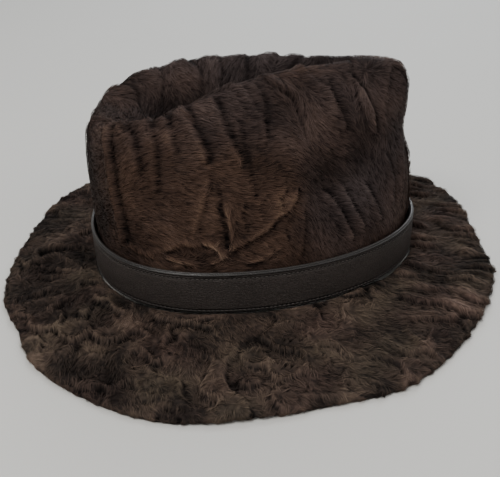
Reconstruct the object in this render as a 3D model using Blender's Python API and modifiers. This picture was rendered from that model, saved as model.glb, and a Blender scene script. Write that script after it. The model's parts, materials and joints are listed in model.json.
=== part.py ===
"""A fur fedora with a teardrop crown, a round wavy brim and a leather band, in metres, +Z up.

The front of the hat points along +X. The origin lies under the middle of the brim's outline, on the
surface that the brim rests on. Each sub-part is one object of its own.
"""

import math

import bmesh
import bpy
import numpy as np

# The crown, outside the pelt. Its base is an egg-shaped oval, fuller than an ellipse by OVAL_POWER
# above 2, narrowed at the front and shifted forward from the middle of the brim.
CROWN_LENGTH = 0.2040
CROWN_WIDTH = 0.1630
CROWN_HEIGHT = 0.1228
CROWN_WALL = 0.0030
CROWN_FORWARD = 0.0024
FRONT_NARROWING = 0.18
OVAL_POWER = 2.15
RIDGE_LENGTH = 0.1770
RIDGE_WIDTH = 0.0920
RIDGE_FORWARD = -0.0040
DENT_DEPTH = 0.0460
DENT_MIDDLE = -0.0360
DENT_ROUNDNESS = 1.35

# The brim: its seat is the underside's height at the head opening, its drop is how far the lowest
# parts of the edge would hang below that if nothing lay under them
BRIM_LENGTH = 0.3130
BRIM_WIDTH = 0.3360
BRIM_WALL = 0.0036
BRIM_SEAT = 0.0033
BRIM_DROP = 0.0075
SAG_CURVE = 1.6
EDGE_BEVEL = 0.0009
SHARP_DEGREES = 50

# The leather band and the rolled welt along its top
BAND_HEIGHT = 0.0246
BAND_WALL = 0.0020
BAND_EASE = 0.0015
WELT_RADIUS = 0.0011
TOUCH_GAP = 0.0003

# Facets
AROUND = 72
SIDE_ROWS = 12
TOP_ROWS = 8
BRIM_RINGS = 7
BAND_ROWS = 2
WELT_RESOLUTION = 1
OVAL_STEP = 0.5
WELD = 0.00001

# How the crown's top goes round from the front, 0 degrees, to the back, 180, on both sides. run and
# spread place the ridge as shares of its half length and half width, height is a share of the
# crown's, near_lift is what the side towards -Y has besides, and upright and lean shape the wall
# below the ridge: both near 3 is a straight wall with a round corner at its top.
RIDGE_COLUMNS = ("turn", "run", "spread", "height", "near_lift", "upright", "lean")
RIDGE_ROWS = (
    (0, 1.00, 0.00, 0.992, 0.000, 3.0, 3.0),
    (20, 0.84, 0.15, 0.990, 0.018, 2.6, 2.4),
    (40, 0.62, 0.25, 0.984, 0.022, 2.2, 1.7),
    (60, 0.42, 0.37, 0.973, 0.030, 2.0, 1.4),
    (75, 0.22, 0.56, 0.962, 0.036, 2.0, 1.4),
    (90, 0.00, 0.76, 0.944, 0.030, 2.0, 1.4),
    (105, -0.26, 0.93, 0.918, 0.000, 2.1, 1.5),
    (120, -0.51, 1.00, 0.884, -0.036, 2.2, 1.6),
    (135, -0.72, 0.93, 0.846, -0.024, 2.4, 1.9),
    (150, -0.88, 0.70, 0.812, -0.024, 2.7, 2.3),
    (165, -0.97, 0.38, 0.776, -0.018, 2.9, 2.8),
    (180, -1.00, 0.00, 0.756, 0.000, 3.0, 3.0),
)

# Where the crown's side is pressed in (depth above 0) or stands out. turn is the place round the
# crown in degrees, negative on the side towards -Y, rise is the place up the wall, both with their
# half widths, lean is how many degrees the fold moves over a whole rise, and depth is a share of
# the pinch's. The folds fade out below HEM_RISE.
PINCH_DEPTH = 0.0090
HEM_RISE = 0.28
FOLD_COLUMNS = ("turn", "rise", "turn_half", "rise_half", "lean", "depth")
FOLD_ROWS = (
    (-44, 0.46, 23.0, 0.26, 0, 0.95),
    (40, 0.50, 21.0, 0.25, 0, 0.95),
    (0, 0.62, 16.0, 0.17, 0, 0.40),
    (-73, 0.36, 4.5, 0.20, 10, 0.20),
    (-154, 0.52, 5.0, 0.30, 10, 0.26),
    (-143, 0.80, 4.5, 0.14, 8, 0.24),
    (-118, 0.86, 6.0, 0.13, 18, 0.26),
    (-100, 0.78, 6.0, 0.16, 22, 0.22),
    (-84, 0.30, 5.0, 0.16, 60, -0.34),
    (-66, 0.84, 6.0, 0.14, 14, 0.24),
    (62, 0.74, 8.0, 0.20, -12, 0.24),
    (100, 0.60, 7.0, 0.24, 12, 0.22),
    (138, 0.66, 7.0, 0.24, -8, 0.24),
)

# The brim's outline and edge. reach is the outline's distance from the middle before it is fitted
# to the brim's length and width, and sag is how far the edge hangs below the seat, as a share of
# the drop: above about 0.45 the underside lies flat on the ground there.
BRIM_COLUMNS = ("turn", "reach", "sag")
BRIM_ROWS = (
    (0, 0.958, 0.00),
    (10, 0.984, 0.10),
    (22, 1.045, 0.60),
    (34, 1.060, 0.90),
    (50, 1.030, 0.55),
    (70, 1.030, 0.20),
    (90, 1.050, 0.80),
    (112, 1.052, 0.90),
    (132, 1.030, 0.35),
    (152, 1.045, 0.80),
    (164, 1.012, 0.50),
    (178, 0.978, 0.00),
    (192, 1.012, 0.30),
    (204, 1.040, 0.90),
    (214, 1.026, 0.80),
    (224, 1.066, 0.95),
    (240, 1.076, 1.00),
    (256, 1.075, 0.80),
    (268, 1.038, 0.25),
    (284, 1.008, 0.70),
    (298, 1.030, 1.00),
    (314, 1.006, 0.85),
    (330, 0.990, 0.35),
    (345, 0.994, 0.25),
)

PELT_COLOUR = (0.045, 0.026, 0.018, 1.0)
LEATHER_COLOUR = (0.018, 0.014, 0.013, 1.0)
PELT_ROUGHNESS = 0.85
LEATHER_ROUGHNESS = 0.45


def column(columns, rows, name):
    """One named column of a table, as an array."""
    return np.array([row[columns.index(name)] for row in rows], float)


def along_round(turns, values, turn):
    """The value at a turn, on a smooth closed curve through values at turns, all in degrees."""
    count = len(turns)
    turn = turn % 360.0
    start = int(np.searchsorted(turns, turn, side="right")) - 1
    places = [turns[(start + k) % count] + 360.0 * ((start + k) // count) for k in range(-1, 3)]
    before, low, high, after = (values[(start + k) % count] for k in range(-1, 3))
    share = (turn - places[1]) / (places[2] - places[1])
    low_slope = (high - before) / (places[2] - places[0]) * (places[2] - places[1])
    high_slope = (after - low) / (places[3] - places[1]) * (places[2] - places[1])
    square, cube = share**2, share**3
    return (
        (2 * cube - 3 * square + 1) * low
        + (cube - 2 * square + share) * low_slope
        + (3 * square - 2 * cube) * high
        + (cube - square) * high_slope
    )


def mirrored_column(name):
    """(turns, values) of a ridge column all the way round: the far side repeats the near one."""
    turns = column(RIDGE_COLUMNS, RIDGE_ROWS, "turn")
    values = column(RIDGE_COLUMNS, RIDGE_ROWS, name)
    sign = -1.0 if name == "spread" else 1.0
    return (
        np.concatenate([turns, 360.0 - turns[-2:0:-1]]),
        np.concatenate([values, sign * values[-2:0:-1]]),
    )


RIDGE = {name: mirrored_column(name) for name in RIDGE_COLUMNS[1:]}
BRIM = {
    name: (column(BRIM_COLUMNS, BRIM_ROWS, "turn"), column(BRIM_COLUMNS, BRIM_ROWS, name))
    for name in BRIM_COLUMNS[1:]
}


def oval_point(turn):
    """(x, y) on the crown's base outline."""
    angle = math.radians(turn)
    across, along = math.sin(angle), math.cos(angle)
    power = 2 / OVAL_POWER
    x = CROWN_FORWARD + CROWN_LENGTH / 2 * math.copysign(abs(along) ** power, along)
    width = CROWN_WIDTH / 2 * (1 - FRONT_NARROWING * along)
    return np.array((x, width * math.copysign(abs(across) ** power, across)))


def head_oval(turn, outward=0.0):
    """(x, y) on the crown's base outline, moved outward by a length."""
    along = oval_point(turn + OVAL_STEP) - oval_point(turn - OVAL_STEP)
    along /= np.linalg.norm(along)
    return oval_point(turn) + outward * np.array((along[1], -along[0]))


def fold_depth(turn, rise):
    """How far the folds and pinches press the crown's side in, in metres."""
    depth = 0.0
    for row in FOLD_ROWS:
        fold = dict(zip(FOLD_COLUMNS, row))
        middle = fold["turn"] + fold["lean"] * (rise - fold["rise"])
        aside = ((turn - middle + 180.0) % 360.0 - 180.0) / fold["turn_half"]
        above = (rise - fold["rise"]) / fold["rise_half"]
        depth += fold["depth"] * math.exp(-(aside**2) - above**2)
    return PINCH_DEPTH * depth * min(1.0, rise / HEM_RISE) ** 2


def ridge_point(turn):
    """(x, y, z) on the ridge round the dent."""
    x = RIDGE_FORWARD + RIDGE_LENGTH / 2 * along_round(*RIDGE["run"], turn)
    y = RIDGE_WIDTH / 2 * along_round(*RIDGE["spread"], turn)
    height = along_round(*RIDGE["height"], turn)
    if y < 0:
        height += along_round(*RIDGE["near_lift"], turn)
    return x, y, crown_base() + CROWN_HEIGHT * height


def crown_base():
    """The height of the crown's lower edge, just clear of the brim."""
    return BRIM_SEAT + BRIM_WALL + TOUCH_GAP


def crown_point(turn, rise):
    """A point of the crown's outer side. rise is 0 at the base, 1 on the ridge and 2 in the dent."""
    ridge = np.array(ridge_point(turn))
    if rise <= 1:
        angle = rise * math.pi / 2
        up = math.sin(angle)
        upright = along_round(*RIDGE["upright"], turn)
        lean = along_round(*RIDGE["lean"], turn)
        out = max(0.0, 1 - up**upright) ** (1 / lean)
        base = head_oval(turn)
        flat = ridge[:2] + (base - ridge[:2]) * out
        pressed = fold_depth(turn, up)
        flat = flat - pressed * base / np.linalg.norm(base)
        return (*flat, crown_base() + (ridge[2] - crown_base()) * up)
    middle = np.array((DENT_MIDDLE, 0.0))
    floor = crown_base() + CROWN_HEIGHT - DENT_DEPTH
    near = max(0.0, 2 - rise)
    wall = math.sin(math.pi / 2 * near**DENT_ROUNDNESS) ** 2
    flat = middle + (ridge[:2] - middle) * near
    return (*flat, floor + (ridge[2] - floor) * wall)


def fitted_outline():
    """(middle x, middle y, x scale, y scale) that bring the raw brim outline to its named sizes."""
    turns = np.arange(0.0, 360.0, 360.0 / AROUND)
    reach = np.array([along_round(*BRIM["reach"], turn) for turn in turns])
    x = reach * np.cos(np.radians(turns))
    y = reach * np.sin(np.radians(turns))
    return (
        (x.max() + x.min()) / 2,
        (y.max() + y.min()) / 2,
        BRIM_LENGTH / np.ptp(x),
        BRIM_WIDTH / np.ptp(y),
    )


OUTLINE = fitted_outline()


def brim_point(turn, out):
    """A point of the brim's underside. out is 0 at the head opening and 1 at the outer edge."""
    inner = head_oval(turn, -CROWN_WALL)
    seat = head_oval(turn, TOUCH_GAP + BAND_EASE + BAND_WALL)
    middle_x, middle_y, scale_x, scale_y = OUTLINE
    reach = along_round(*BRIM["reach"], turn)
    angle = math.radians(turn)
    edge = np.array(
        (
            (reach * math.cos(angle) - middle_x) * scale_x,
            (reach * math.sin(angle) - middle_y) * scale_y,
        )
    )
    level = 1 / BRIM_RINGS
    if out <= level:
        return (*(inner + (seat - inner) * out / level), BRIM_SEAT)
    share = (out - level) / (1 - level)
    sag = BRIM_DROP * along_round(*BRIM["sag"], turn) * share**SAG_CURVE
    return (*(seat + (edge - seat) * share), max(0.0, BRIM_SEAT - sag))


def band_point(turn, rise):
    """A point of the band's outer side. rise is 0 at its lower edge and 1 at its top."""
    outward = TOUCH_GAP + BAND_EASE + BAND_WALL
    return (*head_oval(turn, outward), crown_base() + BAND_HEIGHT * rise)


def clear_scene():
    """Removes every object of the startup scene."""
    for obj in list(bpy.data.objects):
        bpy.data.objects.remove(obj, do_unlink=True)


def material(name, colour, roughness):
    """A plain Principled material."""
    made = bpy.data.materials.new(name)
    made.use_nodes = True
    shader = made.node_tree.nodes["Principled BSDF"]
    shader.inputs["Base Color"].default_value = colour
    shader.inputs["Roughness"].default_value = roughness
    shader.inputs["Metallic"].default_value = 0.0
    return made


def sheet(name, rows, place, collection, finish):
    """An open sheet closed round the hat: place(turn, share) puts each grid point, in degrees."""
    mesh = bpy.data.meshes.new(name)
    grid = bmesh.new()
    bmesh.ops.create_grid(grid, x_segments=AROUND, y_segments=rows, size=1.0)
    for point in grid.verts:
        turn = (point.co.x + 1) * 180.0
        point.co = place(turn, (point.co.y + 1) / 2)
    bmesh.ops.remove_doubles(grid, verts=grid.verts, dist=WELD)
    grid.to_mesh(mesh)
    grid.free()
    mesh.materials.append(finish)
    obj = bpy.data.objects.new(name, mesh)
    collection.objects.link(obj)
    return obj


def thicken(obj, wall):
    """Gives a sheet its wall, on the side that its faces turn away from."""
    solid = obj.modifiers.new("Wall", "SOLIDIFY")
    solid.thickness = wall
    solid.offset = -1.0
    solid.use_even_offset = True
    solid.use_quality_normals = True


def round_edges(obj, width):
    """Takes the corners off a wall's edges."""
    bevel = obj.modifiers.new("Edges", "BEVEL")
    bevel.width = width
    bevel.segments = 1
    bevel.limit_method = "ANGLE"
    bevel.angle_limit = math.radians(SHARP_DEGREES)


def make_crown(collection, finish):
    """The crown: a hollow pelt shell with its teardrop dent, pinches and folds."""
    rows = SIDE_ROWS + TOP_ROWS
    ridge_share = SIDE_ROWS / rows

    def place(turn, share):
        if share <= ridge_share + WELD:
            return crown_point(turn, min(1.0, share / ridge_share))
        return crown_point(turn, 1 + (share - ridge_share) / (1 - ridge_share))

    crown = sheet("crown", rows, place, collection, finish)
    thicken(crown, CROWN_WALL)
    crown.data.shade_smooth()
    return crown


def make_brim(collection, finish):
    """The brim: a wavy ring that the crown stands on, flat underneath where it rests."""
    brim = sheet("brim", BRIM_RINGS, brim_point, collection, finish)
    thicken(brim, BRIM_WALL)
    round_edges(brim, EDGE_BEVEL)
    brim.data.shade_smooth()
    return brim


def make_band(collection, finish):
    """The band: a leather strap that stands round the crown's base."""
    band = sheet("band", BAND_ROWS, band_point, collection, finish)
    thicken(band, BAND_WALL)
    band.data.shade_smooth()
    return band


def make_band_welt(collection, finish):
    """The welt: a thin round cord of leather along the band's top, all the way round."""
    curve = bpy.data.curves.new("band_welt", "CURVE")
    curve.dimensions = "3D"
    curve.bevel_depth = WELT_RADIUS
    curve.bevel_resolution = WELT_RESOLUTION
    spline = curve.splines.new("POLY")
    spline.points.add(AROUND - 1)
    spline.use_cyclic_u = True
    outward = TOUCH_GAP + BAND_EASE + BAND_WALL / 2
    height = crown_base() + BAND_HEIGHT + TOUCH_GAP + WELT_RADIUS
    for step, point in enumerate(spline.points):
        point.co = (*head_oval(360.0 * step / AROUND, outward), height, 1.0)
    curve.materials.append(finish)
    welt = bpy.data.objects.new("band_welt", curve)
    collection.objects.link(welt)
    return welt


def main():
    """Builds the hat in a collection of its own."""
    clear_scene()
    collection = bpy.data.collections.new("fedora")
    bpy.context.scene.collection.children.link(collection)
    pelt = material("pelt", PELT_COLOUR, PELT_ROUGHNESS)
    leather = material("leather", LEATHER_COLOUR, LEATHER_ROUGHNESS)
    make_crown(collection, pelt)
    make_brim(collection, pelt)
    make_band(collection, leather)
    make_band_welt(collection, leather)


main()
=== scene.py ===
"""Studio scene of a lamb-fur fedora with a leather band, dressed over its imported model.

The front of the hat points along +X. The camera stands on the -Y side, at the wearer's right.
"""

import json
import logging
import math
from dataclasses import dataclass
from enum import Enum
from typing import Any, Iterable, Sequence

import bpy
import numpy as np
from mathutils import Matrix, Vector
from mathutils.bvhtree import BVHTree

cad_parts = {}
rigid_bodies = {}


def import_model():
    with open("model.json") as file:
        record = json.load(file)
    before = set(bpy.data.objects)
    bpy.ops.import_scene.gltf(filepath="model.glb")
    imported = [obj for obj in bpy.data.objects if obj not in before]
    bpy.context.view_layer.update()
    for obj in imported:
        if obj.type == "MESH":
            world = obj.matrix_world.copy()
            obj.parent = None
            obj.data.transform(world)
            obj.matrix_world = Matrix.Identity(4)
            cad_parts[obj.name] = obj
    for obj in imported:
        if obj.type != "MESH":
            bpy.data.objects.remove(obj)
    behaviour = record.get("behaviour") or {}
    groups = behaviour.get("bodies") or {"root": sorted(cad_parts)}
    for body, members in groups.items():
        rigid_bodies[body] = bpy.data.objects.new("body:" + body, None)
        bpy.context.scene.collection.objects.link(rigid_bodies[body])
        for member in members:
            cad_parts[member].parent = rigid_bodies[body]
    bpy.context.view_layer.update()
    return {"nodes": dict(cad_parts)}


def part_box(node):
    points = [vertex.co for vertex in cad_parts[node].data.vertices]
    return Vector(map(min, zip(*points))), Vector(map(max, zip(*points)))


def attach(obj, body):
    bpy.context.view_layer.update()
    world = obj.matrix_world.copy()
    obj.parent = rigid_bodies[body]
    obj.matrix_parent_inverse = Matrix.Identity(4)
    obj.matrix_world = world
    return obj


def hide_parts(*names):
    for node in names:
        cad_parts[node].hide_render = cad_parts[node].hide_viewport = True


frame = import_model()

log = logging.getLogger("fedora")

MM = 0.001
WELD = 0.00001
BODY = "root"
Colour = tuple[float, float, float]
Point = tuple[float, float, float]
UP: Point = (0.0, 0.0, 1.0)
LEVEL = np.array((1.0, 1.0, 0.0))


class Slot(Enum):
    """The record's material slots."""

    PELT = "pelt"
    LEATHER = "leather"


# Finishes


@dataclass(frozen=True)
class FurFinish:
    """Hair: its colours by tone from 0 to 1, a less red set of them, and its gloss."""

    name: str
    tones: tuple[tuple[float, Colour], ...]
    cool_tones: tuple[tuple[float, Colour], ...]
    roughness: float
    specular: float


@dataclass(frozen=True)
class StreakFinish:
    """The fine streaks of the close fur at the foot of the hair."""

    size: float = 0.0035
    detail: float = 4.0
    depth: float = 0.0008
    middle: float = 0.62
    contrast: float = 0.7
    roughness: float = 0.85
    specular: float = 0.02


@dataclass(frozen=True)
class SkinFinish:
    """Suede or thread, in patches of two tones."""

    name: str
    dark: Colour
    light: Colour
    patch: float
    relief: float
    roughness: float
    specular: float = 0.2
    fine: float = 0.125
    fine_share: float = 0.3
    ends: tuple[float, float] = (0.35, 0.65)
    strength: float = 0.8


@dataclass(frozen=True)
class LeatherFinish:
    """Dyed leather with pressed lines. Lengths in metres.

    Attributes:
        name: Its name.
        dark: Its darkest tone.
        light: Its lightest.
        grain: Size of a pebble of its grain.
        relief: How deep the grain is.
        roughness: Its middle roughness.
        grooves: Heights of the pressed lines.
        groove_half: Half width of a line.
        specular: Its gleam.
        cloud: Size of its cloudy patches, in pebbles.
        pore: Size of its pores, in pebbles.
        pebble: How steeply a pebble rises from its edge.
        pebble_top: How far it rises.
        pore_depth: How deep a pore is beside it.
        press_depth: How deep a line is beside it.
        cloud_tone: How much the tone follows the patches.
        pore_tone: How much it follows the pores.
        least_tone: The tone where neither adds any.
        press_tone: How far a line is shaded.
        press_shade: The shade in a line, as a part of the darkest tone.
        gloss_spread: How much the roughness varies.
    """

    name: str
    dark: Colour
    light: Colour
    grain: float
    relief: float
    roughness: float
    grooves: tuple[float, ...]
    groove_half: float
    specular: float = 0.45
    cloud: float = 12.0
    pore: float = 0.6
    pebble: float = 3.0
    pebble_top: float = 0.6
    pore_depth: float = 0.35
    press_depth: float = 4.0
    cloud_tone: float = 0.4
    pore_tone: float = 2.4
    least_tone: float = 0.3
    press_tone: float = 0.75
    press_shade: float = 0.35
    gloss_spread: float = 0.16


HAIR = FurFinish(
    name="lamb_hair",
    tones=(
        (0.00, (0.0050, 0.0038, 0.0034)),
        (0.25, (0.0210, 0.0140, 0.0115)),
        (0.50, (0.0680, 0.0400, 0.0290)),
        (0.75, (0.1450, 0.0880, 0.0600)),
        (1.00, (0.2700, 0.1850, 0.1250)),
    ),
    cool_tones=(
        (0.00, (0.0058, 0.0050, 0.0052)),
        (0.25, (0.0240, 0.0183, 0.0178)),
        (0.50, (0.0660, 0.0500, 0.0480)),
        (0.75, (0.1400, 0.1080, 0.1010)),
        (1.00, (0.2600, 0.2050, 0.1850)),
    ),
    roughness=0.5,
    specular=0.03,
)
BRIM_HAIR = FurFinish(
    name="brim_lamb_hair",
    tones=(
        (0.00, (0.0057, 0.0046, 0.0043)),
        (0.25, (0.0240, 0.0174, 0.0155)),
        (0.50, (0.0770, 0.0505, 0.0412)),
        (0.75, (0.1660, 0.1115, 0.0880)),
        (1.00, (0.3000, 0.2180, 0.1730)),
    ),
    cool_tones=(
        (0.00, (0.0053, 0.0048, 0.0046)),
        (0.25, (0.0220, 0.0181, 0.0156)),
        (0.50, (0.0710, 0.0538, 0.0400)),
        (0.75, (0.1530, 0.1160, 0.0830)),
        (1.00, (0.2780, 0.2220, 0.1610)),
    ),
    roughness=0.5,
    specular=0.03,
)
SUEDE = SkinFinish("suede", (0.0300, 0.0190, 0.0125), (0.0480, 0.0310, 0.0210), 0.006, 0.0002, 0.95)


# Node helpers


class Wire:
    """A shader output that takes part in plain arithmetic.

    Args:
        graph: The node graph it belongs to.
        socket: The output socket.
    """

    def __init__(self, graph: "Graph", socket: bpy.types.NodeSocket) -> None:
        """Wraps the socket."""
        self.graph = graph
        self.socket = socket

    def _do(self, operation: str, first: Any, second: Any = None) -> "Wire":
        """Adds a Math node.

        Args:
            operation: Its operation.
            first: A number or a wire.
            second: Another, where the operation takes two.

        Returns:
            Its result.
        """
        inputs = {0: first} if second is None else {0: first, 1: second}
        return self.graph.add("ShaderNodeMath", {"operation": operation}, inputs)

    def __add__(self, other: Any) -> "Wire":
        """This plus other."""
        return self._do("ADD", self, other)

    def __radd__(self, other: Any) -> "Wire":
        """Other plus this."""
        return self._do("ADD", other, self)

    def __sub__(self, other: Any) -> "Wire":
        """This less other."""
        return self._do("SUBTRACT", self, other)

    def __rsub__(self, other: Any) -> "Wire":
        """Other less this."""
        return self._do("SUBTRACT", other, self)

    def __mul__(self, other: Any) -> "Wire":
        """This times other."""
        return self._do("MULTIPLY", self, other)

    def __rmul__(self, other: Any) -> "Wire":
        """Other times this."""
        return self._do("MULTIPLY", other, self)

    def __truediv__(self, other: Any) -> "Wire":
        """This over other."""
        return self._do("DIVIDE", self, other)

    def __rtruediv__(self, other: Any) -> "Wire":
        """Other over this."""
        return self._do("DIVIDE", other, self)

    def __pow__(self, other: Any) -> "Wire":
        """This to the power of other."""
        return self._do("POWER", self, other)

    def __rpow__(self, other: Any) -> "Wire":
        """Other to the power of this."""
        return self._do("POWER", other, self)

    def __neg__(self) -> "Wire":
        """This with its sign changed."""
        return self._do("MULTIPLY", self, -1.0)


class Graph:
    """One material's node graph.

    Args:
        name: The material's name.
    """

    def __init__(self, name: str) -> None:
        """Makes an empty material."""
        self.material = bpy.data.materials.new(name)
        self.material.use_nodes = True
        self.tree = self.material.node_tree
        self.tree.nodes.clear()

    def _put(self, socket: bpy.types.NodeSocket, value: Any) -> None:
        """Sets a socket.

        Args:
            socket: The input socket.
            value: A number, a colour or a wire.
        """
        if isinstance(value, Wire):
            self.tree.links.new(value.socket, socket)
        else:
            socket.default_value = value

    def node(self, kind: str, settings: dict[str, Any], inputs: dict[Any, Any]) -> bpy.types.Node:
        """Adds a node.

        Args:
            kind: The node's type.
            settings: Its properties by name.
            inputs: Its input values or wires, by socket name or number.

        Returns:
            The node.
        """
        made = self.tree.nodes.new(kind)
        for key, value in settings.items():
            setattr(made, key, value)
        for key, value in inputs.items():
            self._put(made.inputs[key], value)
        return made

    def add(self, kind: str, settings: dict[str, Any], inputs: dict[Any, Any], output: Any = 0) -> Wire:
        """Adds a node, and gives back one of its outputs, by name or number, as a wire."""
        return Wire(self, self.node(kind, settings, inputs).outputs[output])

    def ramp(self, factor: Wire, stops: Sequence[tuple[float, Colour]]) -> Wire:
        """A colour ramp.

        Args:
            factor: Where on the ramp.
            stops: (place, colour) pairs in order.

        Returns:
            The colour.
        """
        out = self.add("ShaderNodeValToRGB", {}, {"Fac": factor}, "Color")
        elements = out.socket.node.color_ramp.elements
        while len(elements) < len(stops):
            elements.new(0.5)
        for element, (place, colour) in zip(elements, stops):
            element.position = place
            element.color = (*colour, 1.0)
        return out

    def mix(self, factor: Any, first: Any, second: Any) -> Wire:
        """A colour between two.

        Args:
            factor: From 0, the first, to 1, the second.
            first: A colour or a wire.
            second: A colour or a wire.

        Returns:
            The mixed colour.
        """
        full = [c if isinstance(c, Wire) else (*c, 1.0) for c in (first, second)]
        return self.add(
            "ShaderNodeMix", {"data_type": "RGBA"}, {0: factor, 6: full[0], 7: full[1]}, 2
        )

    def place(self, scale: Point = (1.0, 1.0, 1.0)) -> Wire:
        """Object coordinates, stretched.

        Args:
            scale: Factor along each axis.

        Returns:
            The vector.
        """
        where = self.add("ShaderNodeTexCoord", {}, {}, "Object")
        return self.add("ShaderNodeMapping", {}, {"Vector": where, "Scale": scale})

    def noise(self, where: Wire, size: float, detail: float = 2.0) -> Wire:
        """Cloudy noise.

        Args:
            where: Coordinates in metres.
            size: Size of its patches in metres.
            detail: How many finer layers it has.

        Returns:
            Its value, about 0.5.
        """
        return self.add(
            "ShaderNodeTexNoise", {}, {"Vector": where, "Scale": 1.0 / size, "Detail": detail}
        )

    def bump(self, height: Wire, depth: float, strength: float = 1.0) -> Wire:
        """A relief.

        Args:
            height: Its height, about 0 to 1.
            depth: How deep that is, in metres.
            strength: How much of it shows.

        Returns:
            The normal.
        """
        sockets = {"Height": height, "Distance": depth, "Strength": strength}
        return self.add("ShaderNodeBump", {}, sockets)

    def hair_colour(self, look: FurFinish, change: Any = 0.0) -> Wire:
        """Hair's colour from the tone and the coolness that its mesh carries.

        Args:
            look: The finish.
            change: What is added to the tone.

        Returns:
            The colour.
        """
        tone, cool = (
            self.add("ShaderNodeAttribute", {"attribute_name": name}, {}, "Fac")
            for name in (Coat.TONE, Coat.COOL)
        )
        tone = tone + change
        return self.mix(cool, self.ramp(tone, look.tones), self.ramp(tone, look.cool_tones))

    def finish(self, sockets: dict[str, Any]) -> bpy.types.Material:
        """Ends the graph with a Principled shader.

        Args:
            sockets: Its values and wires by socket name.

        Returns:
            The material.
        """
        shader = self.add("ShaderNodeBsdfPrincipled", {}, sockets)
        self.node("ShaderNodeOutputMaterial", {}, {"Surface": shader})
        return self.material


def hair_material(look: FurFinish) -> bpy.types.Material:
    """The hair: its colour follows the tone that each strand carries.

    Args:
        look: The finish.

    Returns:
        The material.
    """
    graph = Graph(look.name)
    return graph.finish(
        {
            "Base Color": graph.hair_colour(look),
            "Roughness": look.roughness,
            "Specular IOR Level": look.specular,
        }
    )


def underfur_material(look: FurFinish, along: Point) -> bpy.types.Material:
    """The close fur at the foot of the hair: the same tones in fine streaks.

    Args:
        look: The hair's finish.
        along: How the streaks are stretched along each axis.

    Returns:
        The material.
    """
    graph = Graph(look.name + "_foot")
    fur = StreakFinish()
    streaks = graph.noise(graph.place(along), fur.size, fur.detail)
    return graph.finish(
        {
            "Base Color": graph.hair_colour(look, (streaks - fur.middle) * fur.contrast),
            "Roughness": fur.roughness,
            "Specular IOR Level": fur.specular,
            "Normal": graph.bump(streaks, fur.depth),
        }
    )


def skin_material(look: SkinFinish) -> bpy.types.Material:
    """Suede or thread, in patches of two tones with a soft relief.

    Args:
        look: The finish.

    Returns:
        The material.
    """
    graph = Graph(look.name)
    where = graph.place()
    fine = graph.noise(where, look.patch * look.fine, 4.0)
    patches = graph.noise(where, look.patch, 3.0)
    first, last = look.ends
    share = patches * (1 - look.fine_share) + fine * look.fine_share
    share = graph.ramp(share, ((first, (0.0, 0.0, 0.0)), (last, (1.0, 1.0, 1.0))))
    return graph.finish(
        {
            "Base Color": graph.mix(share, look.dark, look.light),
            "Roughness": look.roughness,
            "Specular IOR Level": look.specular,
            "Normal": graph.bump(fine, look.relief, look.strength),
        }
    )


def leather_material(look: LeatherFinish) -> bpy.types.Material:
    """Fine-grained leather with pressed lines at set heights.

    Args:
        look: The finish.

    Returns:
        The material.
    """
    graph = Graph(look.name)
    where = graph.place()
    cells = graph.add(
        "ShaderNodeTexVoronoi",
        {"feature": "DISTANCE_TO_EDGE"},
        {"Vector": where, "Scale": 1.0 / look.grain},
    )
    cloud = graph.noise(where, look.grain * look.cloud, 3.0)
    pores = graph.noise(where, look.grain * look.pore, 3.0)
    height = graph.add("ShaderNodeSeparateXYZ", {}, {"Vector": where}, "Z")
    pebbles = graph.add(
        "ShaderNodeMath", {"operation": "MINIMUM"}, {0: cells * look.pebble, 1: look.pebble_top}
    )
    pressed: Any = 0.0
    for line in look.grooves:
        aside = (height - line) / look.groove_half
        pressed = pressed + math.e ** -(aside * aside)
    relief = pebbles + pores * look.pore_depth - pressed * look.press_depth
    tone = cloud * look.cloud_tone + (pores - 0.5) * look.pore_tone + look.least_tone
    dyed = graph.mix(tone, look.dark, look.light)
    shade = tuple(look.press_shade * value for value in look.dark)
    return graph.finish(
        {
            "Base Color": graph.mix(pressed * look.press_tone, dyed, shade),
            "Roughness": cloud * look.gloss_spread + (look.roughness - look.gloss_spread / 2),
            "Specular IOR Level": look.specular,
            "Normal": graph.bump(relief, look.relief),
        }
    )


# Mesh helpers


def deselect() -> None:
    """Clears the selection."""
    bpy.ops.object.select_all(action="DESELECT")
    bpy.context.view_layer.objects.active = None


def activate(obj: bpy.types.Object) -> None:
    """Makes obj the only selected object.

    Args:
        obj: The object.
    """
    deselect()
    obj.select_set(True)
    bpy.context.view_layer.objects.active = obj


def placed(name: str, data: bpy.types.ID) -> bpy.types.Object:
    """A new object in the scene.

    Args:
        name: Its name.
        data: Its mesh, light or camera.

    Returns:
        The object.
    """
    obj = bpy.data.objects.new(name, data)
    bpy.context.scene.collection.objects.link(obj)
    return obj


def copy_of_node(node: str, name: str) -> bpy.types.Object:
    """A piece with a merged copy of a node's mesh, in quads.

    Args:
        node: The node.
        name: The piece's name.

    Returns:
        The piece.
    """
    mesh = frame["nodes"][node].data.copy()
    mesh.name = name
    mesh.materials.clear()
    obj = placed(name, mesh)
    activate(obj)
    bpy.ops.object.mode_set(mode="EDIT")
    bpy.ops.mesh.select_all(action="SELECT")
    bpy.ops.mesh.remove_doubles(threshold=WELD)
    bpy.ops.mesh.tris_convert_to_quads()
    bpy.ops.object.mode_set(mode="OBJECT")
    deselect()
    return obj


def subdivide(obj: bpy.types.Object, levels: int, simple: bool = False) -> None:
    """Subdivides a piece and keeps the result.

    Args:
        obj: The piece.
        levels: How many times.
        simple: True to keep the facets' shape.
    """
    activate(obj)
    modifier = obj.modifiers.new("Subdivision", "SUBSURF")
    modifier.levels = modifier.render_levels = levels
    modifier.subdivision_type = "SIMPLE" if simple else "CATMULL_CLARK"
    bpy.ops.object.modifier_apply(modifier=modifier.name)
    deselect()


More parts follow.
